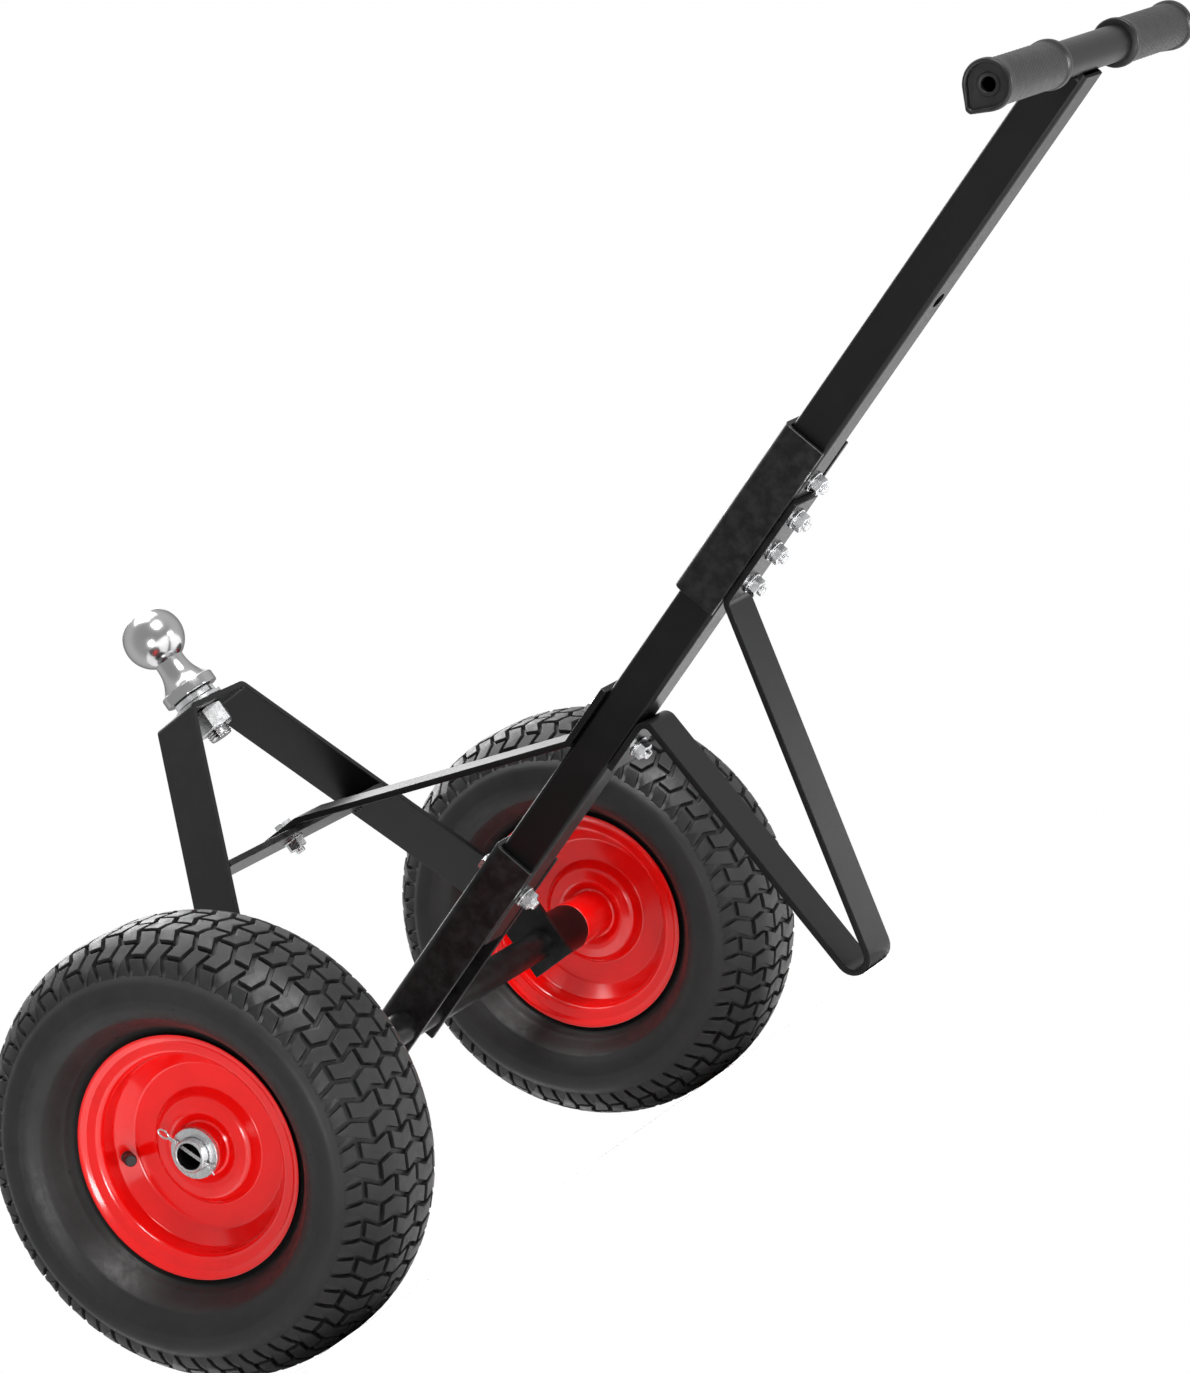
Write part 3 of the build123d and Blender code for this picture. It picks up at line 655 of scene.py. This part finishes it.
def grip_outline(angle):
    """End flange's radius: round, with one square corner towards the axle, its tip cut off."""
    away = abs(angle % TURN - pi)
    if away > pi / 4:
        return GRIP_FLANGE_R
    return min(GRIP_FLANGE_R / cos(pi / 4 - away), GRIP_FLANGE_R * 1.31)


def make_grips():
    """Ribbed rubber grips, each with a collar, a square-cornered end flange and a drain hole."""
    inner, outer = TBAR_L / 2 - GRIP_L, TBAR_L / 2 + GRIP_END
    flange = outer - GRIP_FLANGE_T
    starts, lead = 40, 26.0

    def ribbed(r, y, angle):
        """The sleeve's radius, cut by slanting ribs between its collar and its flange."""
        if inner + 11 < y < flange - 5 and r > TBAR_R:
            phase = (starts * angle / TURN + y / lead * 4) % 1
            return r - 0.38 * abs(2 * phase - 1)
        return r

    sleeve = [(TBAR_R, inner), (TBAR_R + 3.4, inner), (17.1, inner + 0.8), (17.2, inner + 3.2)]
    sleeve += [(17.0, inner + 6.0), (GRIP_R, inner + 7.2)]
    ribs = 78
    sleeve += [(GRIP_R, inner + 8 + (flange - inner - 9) * k / ribs) for k in range(ribs + 1)]
    sleeve += [(GRIP_R + 0.5, flange - 0.3), (GRIP_R - 2, flange + 1.5)]
    sleeve += [(TBAR_R - 1, flange + 1.5), (TBAR_R - 1, inner)]
    rim = [(1.0, flange - 0.5), (0.0, flange + 0.7), (0.0, outer - 1.3), (0.5, outer - 0.4)]
    rim += [(1.4, outer), (2.6, outer - 0.2), (3.2, outer - 1.0), (3.5, outer - 3.6)]
    hole = [(8.2, outer - 3.8), (7.6, outer - 3.0), (5.6, outer - 3.0)]
    hole += [(5.0, outer - 3.6), (5.0, flange - 0.5)]
    cap = [lambda a: (GRIP_R - 3, flange - 0.5)]
    cap += [lambda a, cut=cut, y=y: (grip_outline(a) - cut, y) for cut, y in rim]
    cap += [lambda a, spot=spot: spot for spot in hole]
    for name, side in SIDES:
        place = upright(HANDLE, TBAR_S) @ mirrored(side)
        shape = Shape().add(*lathe(sleeve, 240, "Y", radius=ribbed), place)
        shape.add(*polar(cap, 120, "Y", hollow=True), place)
        piece(f"grip_{name}_sleeve", shape, "grip_rubber", stands_for=f"grip_{name}", smooth=50)


def make_handle_weld():
    """Weld round the saddle where the T-bar meets the upper tube."""
    shape = Shape()
    reach = TBAR_S - TBAR_R + 2.0
    top = HALF_TUBE - 3.4
    for side in (-1, 1):
        for sign in (-1, 1):
            start = (reach - 1.5, side * (HALF_TUBE - 0.6), sign * top)
            end = (reach + 3.2, side * (HALF_TUBE - 0.6), 0)
            shape.add(*weld(start, end, 1.8), HANDLE)
    piece("handle_weld", shape, "black_powder_coat")


# ---- fasteners ------------------------------------------------------------------------
def button_head(top):
    """Low domed head with a hexagonal socket, standing along Z."""
    angles = [radians(a) for a in range(0, 61, 6)]
    rise = [(BUTTON_R * cos(a), top + 0.2 + (BUTTON_T - 0.2) * sin(a)) for a in angles]
    rings = [lambda a: (BUTTON_R, top)] + [lambda a, spot=spot: spot for spot in rise]
    mouth = top + BUTTON_T - 0.15
    rings += [
        lambda a: (hex_radius(BUTTON_KEY, a) + 0.35, mouth),
        lambda a: (hex_radius(BUTTON_KEY, a), mouth - 0.4),
        lambda a: (hex_radius(BUTTON_KEY, a), mouth - 2.4),
    ]
    return polar(rings, 72)


def make_bolt(matrix, top, under, domed=False):
    """Shapes of one bolt, its washer and its nut, standing along Z."""
    nut_top = under - BOLT_WASHER_T
    nut_low = nut_top - NUT_T
    head = button_head(top) if domed else hexagon(BOLT_AF, top, top + HEAD_T)
    screw = Shape().add(*head, matrix)
    rod = [lambda a: (BOLT_R, nut_top - 1), lambda a: (BOLT_R, top + 0.2)]
    screw.add(*polar(rod, 36), matrix)
    screw.add(*threaded(BOLT_R, BOLT_PITCH, nut_low - BOLT_PROUD, nut_top), matrix)
    disc = Shape().add(*washer(BOLT_WASHER_R, BOLT_R + 0.15, nut_top, under), matrix)
    nut = Shape().add(*hexagon(BOLT_AF, nut_low, nut_top, bore=BOLT_R), matrix @ NUT_TURN)
    return screw, disc, nut


def make_bolts():
    """The four splice bolts as one set, and the stand, channel and brace bolts."""
    under, web = -HALF_TUBE - STRAP_T, HALF_TUBE + CHANNEL_T
    places = [(upright(HANDLE, s), web, under) for s in SPLICE_BOLT_S[:3]]
    places.append((upright(HANDLE, SPLICE_BOLT_S[3]), web, -HALF_TUBE))
    kinds = [Shape(), Shape(), Shape()]
    for place in places:
        for kind, one in zip(kinds, make_bolt(*place, domed=True)):
            kind.add(one.verts, one.faces)
    for kind, node in zip(kinds, ("splice_bolts", "splice_washers", "splice_nuts")):
        piece(f"{node}_set", kind, "zinc", stands_for=node)

    brace_top = BRACE_Z + 2 * STRAP_T
    singles = {
        "stand": (upright(HANDLE, KICK_BOLT_S), HALF_TUBE + STRAP_T, under),
        "channel": (upright(HANDLE, CHANNEL_BOLT_S), web, -HALF_TUBE),
        "brace": (AXLE, brace_top, BRACE_Z),
    }
    for name, place in singles.items():
        for kind, one in zip(("bolt", "washer", "nut"), make_bolt(*place)):
            piece(f"{name}_{kind}_cut", one, "zinc", stands_for=f"{name}_{kind}")


# ---- hitch ball -----------------------------------------------------------------------
def make_ball():
    """Chrome ball, neck and flatted flange with a threaded shank, and what clamps it."""
    centre = A_TOP + BALL_H
    flange = A_TOP + FLAT_T + SPRING_T
    neck = flange + BALL_FLANGE_T
    join = centre - sqrt(BALL_R**2 - NECK_R**2)
    shape = Shape()
    outline = [(0.0, neck - 0.5), (BALL_FLANGE_R - 2.2, neck - 0.5)]
    for t in (k / 16 for k in range(17)):
        flare = (BALL_FLANGE_R - 2.0 - NECK_R) * (1 - t) ** 2.6
        outline.append((NECK_R - 0.2 + flare, neck + (join - neck) * t))
    low = -acos(NECK_R / BALL_R)
    flat_cut = 0.8  # taken off the ball's top
    top_flat = acos(1 - flat_cut / BALL_R)
    for k in range(1, 49):
        a = low + (pi / 2 - top_flat - low) * k / 48
        outline.append((BALL_R * cos(a), centre + BALL_R * sin(a)))
    crown = centre + BALL_R - flat_cut
    outline += [(BALL_R * sin(top_flat) - 0.4, crown), (0.0, crown)]
    shape.add(*lathe(outline, 128, "Z", closed=False), AXLE)

    def flatted(shrink, z):
        """A ring of the flange, round with two flats."""

        def ring(a):
            flat = (BALL_AF / 2 - shrink) / max(1e-6, abs(sin(a)))
            return min(BALL_FLANGE_R - shrink, flat), z

        return ring

    rings = [flatted(1.0, flange), flatted(0.3, flange + 0.3), flatted(0.0, flange + 1.0)]
    rings += [flatted(0.0, neck - 1.4), flatted(0.4, neck - 0.5), flatted(1.2, neck)]
    shape.add(*polar(rings, 144), AXLE)
    shank_top = A_TOP - STRAP_T - BALL_NUT_T + 2
    shape.add(*threaded(SHANK_R, SHANK_PITCH, A_TOP - SHANK_BELOW, shank_top, 64), AXLE)
    shape.add(*polar([lambda a: (SHANK_R, shank_top - 1), lambda a: (SHANK_R, flange + 0.5)], 64), AXLE)
    piece("hitch_ball_turned", shape, "chrome", stands_for="hitch_ball")

    flat = Shape().add(*washer(FLAT_R, SHANK_R + 0.2, A_TOP, A_TOP + FLAT_T, edge=0.5), AXLE)
    piece("ball_flat_washer_disc", flat, "zinc", stands_for="ball_flat_washer")

    split, steps, rings = radians(9), 96, []
    middle = (SPRING_R + SHANK_R + 0.2) / 2
    wide, tall = (SPRING_R - SHANK_R) / 2 - 0.2, SPRING_T / 2 - 0.5
    section = [(-1, -0.8), (-0.8, -1), (0.8, -1), (1, -0.8), (1, 0.8), (0.8, 1), (-0.8, 1), (-1, 0.8)]
    for k in range(steps + 1):
        a = split / 2 + (TURN - split) * k / steps
        z = A_TOP + FLAT_T + SPRING_T / 2 + 0.45 * (k / steps - 0.5)
        rings.append([turned("Z", middle + u * wide, z + v * tall, a) for u, v in section])
    coil = Shape().add(*skin(rings), AXLE)
    piece("ball_spring_washer_coil", coil, "zinc", stands_for="ball_spring_washer")

    nut_top = A_TOP - STRAP_T
    nut = Shape().add(*hexagon(BALL_NUT_AF, nut_top - BALL_NUT_T, nut_top, bore=SHANK_R), AXLE)
    piece("ball_nut_hex", nut, "zinc", stands_for="ball_nut")


# ---- wheels ---------------------------------------------------------------------------
# The shoulders are rounder than the CAD tyre's, and the wall stops 0.5 mm short of its side.
WALL_Y = TYRE_HALF - 0.5
TYRE_SIDE = [(75.8, 25.7), (89.9, 25.7), (111.0, WALL_Y), (143.0, WALL_Y), (TYRE_R, 28.0)]
TYRE_BENDS = [9.0, 26.0, 32.0, 44.0]
CASING_T = 7.0
WALL_RINGS = ((97.0, 0.5, 0.9), (107.0, 0.7, 0.8), (122.0, 0.3, 1.8))  # radius, height, half width
COURSES = 66
PITCH = TURN * TYRE_R / COURSES
TREAD_EDGE, FADE_FROM = 71.0, 56.0  # distance across the tread
BRICK, GAP, SLOT, SWING = 26.0, 3.7, 3.6, 2.6
PIPS = 10  # moulding stubs on each wall


def tread_curve():
    """The tyre's outer half outline from the crown's middle to the sidewall, with running length."""
    line = TYRE_SIDE + [(TYRE_R, 0.0)]
    points = rounded(line, TYRE_BENDS, steps=16)[::-1]
    return points, running(points)


CURVE, CURVE_AT = tread_curve()


def on_tread(across, height):
    """(radius, station) at a signed distance across the tread, height above its outer surface."""
    side, at = (1 if across >= 0 else -1), abs(across)
    i = max(k for k, value in enumerate(CURVE_AT) if value <= at)
    i = min(i, len(CURVE) - 2)
    share = (at - CURVE_AT[i]) / (CURVE_AT[i + 1] - CURVE_AT[i])
    (r0, y0), (r1, y1) = CURVE[i], CURVE[i + 1]
    length = hypot(r1 - r0, y1 - y0)
    nr, ny = (y1 - y0) / length, -(r1 - r0) / length
    return r0 + (r1 - r0) * share + nr * height, side * (y0 + (y1 - y0) * share + ny * height)


def tread_block(shape, outline, height, matrix, taper=None):
    """One raised block from an outline of (distance round, distance across)."""
    rings = []
    middle = Vector((sum(p[0] for p in outline) / len(outline), sum(p[1] for p in outline) / len(outline)))
    for level, shrink in ((-0.6, -0.35), (height - 0.7, 0.15), (height - 0.15, 0.4), (height, 0.9)):
        ring = []
        for p in outline:
            spoke = Vector(p) - middle
            spot = middle + spoke * (1 - shrink / max(1.0, spoke.length))
            level_here = level * (taper(abs(spot.y)) if taper and level > 0 else 1)
            r, y = on_tread(spot.y, level_here - TREAD_H)
            ring.append(turned("Y", r, y, spot.x / TYRE_R))
        rings.append(ring)
    r, y = on_tread(middle.y, height * (taper(abs(middle.y)) if taper else 1) - TREAD_H)
    verts, faces = skin(rings, caps=False)
    n = len(outline)
    verts.append(turned("Y", r, y, middle.x / TYRE_R))
    top = (len(rings) - 1) * n
    faces += [[top + k, top + (k + 1) % n, len(verts) - 1] for k in range(n)]
    shape.add(verts, faces, matrix)


def halved(outline):
    """The outline with a point added halfway along each side."""
    out = []
    for a, b in zip(outline, outline[1:] + outline[:1]):
        out += [a, ((a[0] + b[0]) / 2, (a[1] + b[1]) / 2)]
    return out


def wave(v):
    """Shift round the tyre that kinks a block's long sides."""
    return SWING * (1 - 4 * abs(v / BRICK - round(v / BRICK)))


def fade(at):
    """Share of the tread's height that is left towards the shoulder."""
    return 1.0 - 0.75 * max(0.0, min(1.0, (at - FADE_FROM) / (TREAD_EDGE - FADE_FROM))) ** 1.5


def tread_bar(shape, matrix, course, low, high, taper=None):
    """A block of one course between two places across the tread, its long sides kinked."""
    middle, half = course * PITCH, (PITCH - GAP) / 2
    kinks = [k * BRICK / 2 for k in range(-6, 7) if low + 3 < k * BRICK / 2 < high - 3]
    places = [low] + kinks + [high]
    outline = [(middle - half + wave(v), v) for v in places]
    outline += [(middle + half + wave(v), v) for v in reversed(places)]
    tread_block(shape, halved(outline), TREAD_H, matrix, taper)


def casing_outline(steps=90):
    """The casing's outside from wall to wall: sunk under the tread, with raised rings on its walls."""
    outer = []
    for k in range(-steps, steps + 1):
        at = CURVE_AT[-1] * k / steps
        sink = TREAD_H * min(1.0, max(0.0, (TREAD_EDGE + 1 - abs(at)) / 11.0))
        r, y = on_tread(at, -sink)
        for where, height, width in WALL_RINGS:
            if abs(at) > TREAD_EDGE:
                y += (1 if at > 0 else -1) * height * max(0.0, 1 - ((r - where) / width) ** 2)
        outer.append((r, y))
    return outer


def make_tyre(name, matrix, body):
    """Turf tyre: smooth casing with rings on its wall and staggered courses of kinked blocks."""
    outer = casing_outline()
    line = [(r, -y) for r, y in TYRE_SIDE] + TYRE_SIDE[::-1]
    inner = rounded(line, TYRE_BENDS + TYRE_BENDS[::-1], CASING_T, steps=6)
    loop = outer + (inner if outer[-1][1] * inner[0][1] > 0 else inner[::-1])
    shape = Shape().add(*lathe(loop, 184, "Y"), matrix)
    for course in range(COURSES):
        if course % 2:
            middles, last = (-1.5 * BRICK, -0.5 * BRICK, 0.5 * BRICK, 1.5 * BRICK), 2 * BRICK
        else:
            middles, last = (-BRICK, 0.0, BRICK), 1.5 * BRICK
        for v in middles:
            tread_bar(shape, matrix, course, v - (BRICK - SLOT) / 2, v + (BRICK - SLOT) / 2)
        for low, high in ((-TREAD_EDGE, -last - SLOT / 2), (last + SLOT / 2, TREAD_EDGE)):
            tread_bar(shape, matrix, course, low, high, fade)
    pip = [(0.0, 1.0), (0.35, 0.95), (0.5, 0.5), (0.55, -0.6)]
    for side in (-1, 1):
        stub = [(r, side * h) for r, h in pip]
        for k in range(PIPS):
            r = WALL_RINGS[0][0] + 20.0 * (k % 2)
            wall = [p for p in outer if p[1] * side >= 0]
            spot = min(wall, key=lambda p: abs(p[0] - r))
            place = matrix @ Matrix.Rotation(-TURN * (k + 0.3) / PIPS, 4, "Y")
            place = place @ Matrix.Translation((spot[0], spot[1], 0))
            shape.add(*lathe(stub, 12, "Y", closed=False), place)
    piece(f"wheel_{name}_tyre_tread", shape, "tyre_rubber", body, f"wheel_{name}_tyre", smooth=40)


WELL_EDGE, WELL_FLOOR = (74.5, 12.0), (61.5, 0.0)
RIM_LINE = [(RIM_R, 30.5), (84.4, 27.5), (SEAT_R, 26.0), WELL_EDGE, WELL_FLOOR]
RIM_LINE += [(41.5, 0.0), (36.5, 9.0), (27.5, 10.5), (HUB_R, 5.0)]
RIM_BENDS = [3.5, 4.0, 6.0, 6.0, 4.0, 4.0, 5.0]


def make_rims(name, matrix, body):
    """Two pressed half rims with a rolled lip, and the hub tube with its boss."""
    face = rounded(RIM_LINE, RIM_BENDS, 0, steps=12)
    back = rounded(RIM_LINE, RIM_BENDS, -RIM_SHEET, steps=12)
    lip = [(RIM_R + 0.4, RIM_LINE[0][1] + RIM_SHEET * share) for share in (0.7, 0.3)]
    loop = [(r, max(0.05, y)) for r, y in lip[:1] + back + face[::-1] + lip[1:]]
    for which, sign in (("outer", 1), ("inner", -1)):
        half = matrix @ mirrored(sign)
        shape, node = Shape().add(*lathe(loop, 192, "Y"), half), f"wheel_{name}_rim_{which}"
        piece(f"{node}_pressing", shape, "red_paint", body, node, smooth=60)

    low, high = HUB_SPAN[0] + 1.5, HUB_SPAN[1] - 1.5
    wall = HUB_R - 3.0
    tube = [(wall, low + 0.5), (wall + 0.5, low), (HUB_R - 0.6, low), (HUB_R, low + 0.6)]
    tube += [(HUB_R, -9.6), (HUB_R + 2.4, -8.2), (HUB_R + 2.4, 8.2), (HUB_R, 9.6)]
    tube += [(HUB_R, high - 0.6), (HUB_R - 0.6, high), (wall + 0.5, high), (wall, high - 0.5)]
    shape = Shape().add(*lathe(tube, 96, "Y"), matrix)
    piece(f"wheel_{name}_hub_tube", shape, "red_paint", body, f"wheel_{name}_hub", smooth=50)


def make_valve(name, matrix, body):
    """Stepped rubber valve stem and its knurled cap, standing square on the well's slanting wall."""
    middle = (Vector(WELL_EDGE) + Vector(WELL_FLOOR)) / 2
    lean = atan2(WELL_EDGE[1] - WELL_FLOOR[1], WELL_EDGE[0] - WELL_FLOOR[0])
    place = matrix @ Matrix.Rotation(radians(-VALVE_ANGLE), 4, "Y") @ Matrix.Translation((*middle, 0))
    place = place @ Matrix.Rotation(lean, 4, "Z")
    stem = [(0.0, -5.0), (3.9, -5.0), (3.9, 1.2), (4.6, 1.6)]
    stem += [(4.6, 3.0), (3.7, 3.8), (3.5, 8.8), (0.0, 9.2)]
    shape, node = Shape().add(*lathe(stem, 40, "Y", closed=False), place), f"wheel_{name}_valve_stem"
    piece(f"{node}_rubber", shape, "butyl", body, node, smooth=45)

    def knurl(r, y, angle):
        """The cap's radius, grooved round its side."""
        return r - 0.25 * abs(2 * ((angle * 18 / TURN) % 1) - 1) if 9.5 < y < 16 and r > 4.2 else r

    cap = [(0.0, 9.0), (4.4, 9.0), (4.7, 9.4), (4.7, 10.0), (4.7, 15.6)]
    cap += [(4.3, 16.2), (4.1, 17.4), (3.4, 18.0), (0.0, 18.0)]
    shape = Shape().add(*lathe(cap, 72, "Y", closed=False, radius=knurl), place)
    node = f"wheel_{name}_valve_cap"
    piece(f"{node}_knurled", shape, "cap_plastic", body, node, smooth=30)


def make_wheels():
    """Both wheels, each with its outer side away from the frame."""
    for name, side in SIDES:
        low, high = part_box(f"wheel_{name}_tyre")
        place = Matrix.Translation((AXLE_CENTRE.x, (low.y + high.y) / 2, AXLE_CENTRE.z))
        matrix = place @ Matrix.Scale(MM, 4) @ mirrored(side)
        body = f"wheel_{name}"
        make_tyre(name, matrix, body)
        make_rims(name, matrix, body)
        make_valve(name, matrix, body)


# ---- axle ends ------------------------------------------------------------------------
def make_axle():
    """Axle tube: painted between the wheels, bare and bright where the hubs run, with a thin black lining
    that darkens its bore.
    """
    bore, end = AXLE_R - AXLE_WALL, (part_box("axle_tube")[1].y - AXLE_CENTRE.y) / MM
    bare = (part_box("wheel_right_bushing_inner")[0].y - AXLE_CENTRE.y) / MM + 1.0
    liner = bore + 0.25
    # A thin black lining runs down the bore from end to end and darkens it.
    paint = [(bore, -end + 1), (liner, -end + 1), (liner, -bare), (AXLE_R, -bare)]
    paint += [(AXLE_R, bare), (liner, bare), (liner, end - 1), (bore, end - 1)]
    shape = Shape().add(*lathe(paint, 72), AXLE)
    piece("axle_tube_bar", shape, "black_powder_coat", stands_for="axle_tube")
    steel = [(liner, bare), (AXLE_R, bare), (AXLE_R, end - 0.7)]
    steel += [(AXLE_R - 0.7, end), (liner + 0.4, end), (liner, end - 0.4)]
    for name, side in SIDES:
        shape = Shape().add(*lathe(steel, 72), AXLE @ mirrored(side))
        piece(f"axle_end_{name}", shape, "zinc")


def make_axle_ends():
    """Washers and split pins that hold the wheels on."""
    for name, side in SIDES:
        low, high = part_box(f"axle_washer_{name}")
        start, end = (low.y - AXLE_CENTRE.y) / MM, (high.y - AXLE_CENTRE.y) / MM
        disc = Shape().add(*washer(WASHER_R, AXLE_R + 0.2, start, end, "Y", edge=0.45), AXLE)
        piece(f"axle_washer_{name}_disc", disc, "zinc", stands_for=f"axle_washer_{name}")

        low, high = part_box(f"cotter_pin_{name}")
        y = (low.y + high.y) / 2 - AXLE_CENTRE.y
        place = AXLE @ Matrix.Translation((0, y / MM, 0)) @ Matrix.Rotation(radians(-PIN_TILT), 4, "Y")
        gap, eye = PIN_WIRE * 1.02, 3.6
        path = [(gap + 3.2, 0, -PIN_TAIL + 1.5), (gap + 1.2, 0, -PIN_TAIL + 4.5), (gap, 0, -PIN_TAIL + 8)]
        path += [(gap, 0, -8 + 5 * k) for k in range(1, 6)]
        half = acos(1 - (gap / eye) ** 2 / 2)
        for k in range(29):
            a = -pi / 2 + half + (TURN - 2 * half) * k / 28
            path.append((eye * cos(a) * 0.72, 0, PIN_EYE + eye * 1.25 * sin(a)))
        path += [(-gap, 0, -8 + 5 * k) for k in range(5, 0, -1)]
        path += [(-gap, 0, -PIN_TAIL + 6), (-gap - 0.9, 0, -PIN_TAIL + 3.0), (-gap - 2.6, 0, -PIN_TAIL)]
        pin = Shape().add(*wire(path, PIN_WIRE, 12), place)
        piece(f"cotter_pin_{name}_wire", pin, "zinc", stands_for=f"cotter_pin_{name}", smooth=60)


# ---- build ----------------------------------------------------------------------------
make_frame()
make_channels()
make_grips()
make_handle_weld()
make_bolts()
make_ball()
make_wheels()
make_axle()
make_axle_ends()

# The CAD's own meshes take the same looks, with the powder coat's edges unworn.
CAD_LOOKS = dict(MATERIALS, black_powder_coat=powder_coat("black_powder_coat_plain", 0.0))
for part in frame["record"]["subparts"]:
    node = frame["nodes"][part["node"]]
    node.data.materials.clear()
    node.data.materials.append(CAD_LOOKS[part["material_slot"]])


# ---- stage, light and camera ----------------------------------------------------------
def make_floor(radius=1.0):
    """Pale round floor under the dolly."""
    look = Look("pale_floor", Roughness=0.7)
    look.paint("Base Color", look.ramp(look.noise(6), [(0.3, 0.90), (0.7, 0.94)]))
    verts = [(radius * cos(TURN * k / 128), radius * sin(TURN * k / 128), 0.0) for k in range(128)]
    mesh = bpy.data.meshes.new("floor")
    mesh.from_pydata(verts, [], [list(range(128))])
    mesh.materials.append(look.material)
    floor = bpy.data.objects.new("floor", mesh)
    bpy.context.scene.collection.objects.link(floor)


def make_world(ahead):
    """White to the camera; as light, a pale backdrop ahead of it and a darker room behind it."""
    world = bpy.data.worlds.new("studio")
    bpy.context.scene.world = world
    world.use_nodes = True
    tree = world.node_tree
    tree.nodes.clear()
    new, link = tree.nodes.new, tree.links.new
    place, level = new("ShaderNodeTexCoord"), new("ShaderNodeValToRGB")
    dot = new("ShaderNodeVectorMath")
    dot.operation = "DOT_PRODUCT"
    dot.inputs[1].default_value = ahead
    shift = new("ShaderNodeMapRange")
    shift.inputs["From Min"].default_value = -1.0
    link(place.outputs["Generated"], dot.inputs[0])
    link(dot.outputs["Value"], shift.inputs["Value"])
    link(shift.outputs["Result"], level.inputs["Fac"])
    set_stops(level, [(0.0, 0.36), (0.30, 0.42), (0.52, 0.62), (1.0, 0.72)])
    studio, white = new("ShaderNodeBackground"), new("ShaderNodeBackground")
    link(level.outputs["Color"], studio.inputs["Color"])
    path, mix, out = new("ShaderNodeLightPath"), new("ShaderNodeMixShader"), new("ShaderNodeOutputWorld")
    link(path.outputs["Is Camera Ray"], mix.inputs["Fac"])
    link(studio.outputs[0], mix.inputs[1])
    link(white.outputs[0], mix.inputs[2])
    white.inputs["Color"].default_value = (1, 1, 1, 1)
    link(mix.outputs[0], out.inputs["Surface"])


def make_light(name, offset, size, power):
    """Rectangular softbox aimed at the camera's target from an offset in metres."""
    data = bpy.data.lights.new(name, "AREA")
    data.shape = "RECTANGLE"
    data.size, data.size_y = size
    data.energy = power
    lamp = bpy.data.objects.new(name, data)
    lamp.location = VIEW_TARGET + offset
    lamp.rotation_euler = (-offset).to_track_quat("-Z", "Y").to_euler()
    bpy.context.scene.collection.objects.link(lamp)


TOP_LIGHT = Vector((0, 0.3, 2.2))
SOFTBOXES = (  # name, metres from the target ahead, above and to the right of the camera, size, watts
    ("key", (-1.5, 2.3, 0.3), (1.3, 1.1), 80),
    ("front", (-2.6, -0.9, -0.5), (0.8, 0.8), 32),
    ("side", (-0.6, 0.2, 2.2), (0.8, 1.4), 85),
    ("rear", (1.7, 0.8, -0.9), (1.2, 1.2), 24),
)
VIEW_AZIMUTH, VIEW_ELEVATION, VIEW_ROLL = 29.675, -4.455, -35.065
VIEW_DISTANCE, VIEW_LENS = 3.5181, 147.85
VIEW_TARGET = Vector((-0.055, -0.034, 0.2792))


def make_camera():
    """Long lens near floor height, leaned over by the photograph's tilt of the dolly."""
    az, el, roll = radians(VIEW_AZIMUTH), radians(VIEW_ELEVATION), radians(VIEW_ROLL)
    forward = Vector((-sin(az) * cos(el), cos(az) * cos(el), -sin(el)))
    level = forward.cross(Vector((0, 0, 1))).normalized()
    up = level.cross(forward)
    side = level * cos(roll) + up * sin(roll)
    over = up * cos(roll) - level * sin(roll)
    data = bpy.data.cameras.new("camera")
    data.sensor_fit, data.sensor_width, data.lens = "HORIZONTAL", 36.0, VIEW_LENS
    data.clip_end = 50
    camera = bpy.data.objects.new("camera", data)
    axes = Matrix((side, over, -forward)).transposed().to_4x4()
    camera.matrix_world = Matrix.Translation(VIEW_TARGET - forward * VIEW_DISTANCE) @ axes
    bpy.context.scene.collection.objects.link(camera)
    bpy.context.scene.camera = camera
    return forward, side, over


make_floor()
ahead, right, above = make_camera()
make_world(ahead)
for name, (forward, rise, aside), size, power in SOFTBOXES:
    make_light(name, ahead * forward + above * rise + right * aside, size, power)
make_light("top", TOP_LIGHT, (1.8, 1.8), 32)
bpy.context.scene.view_settings.view_transform = "Standard"
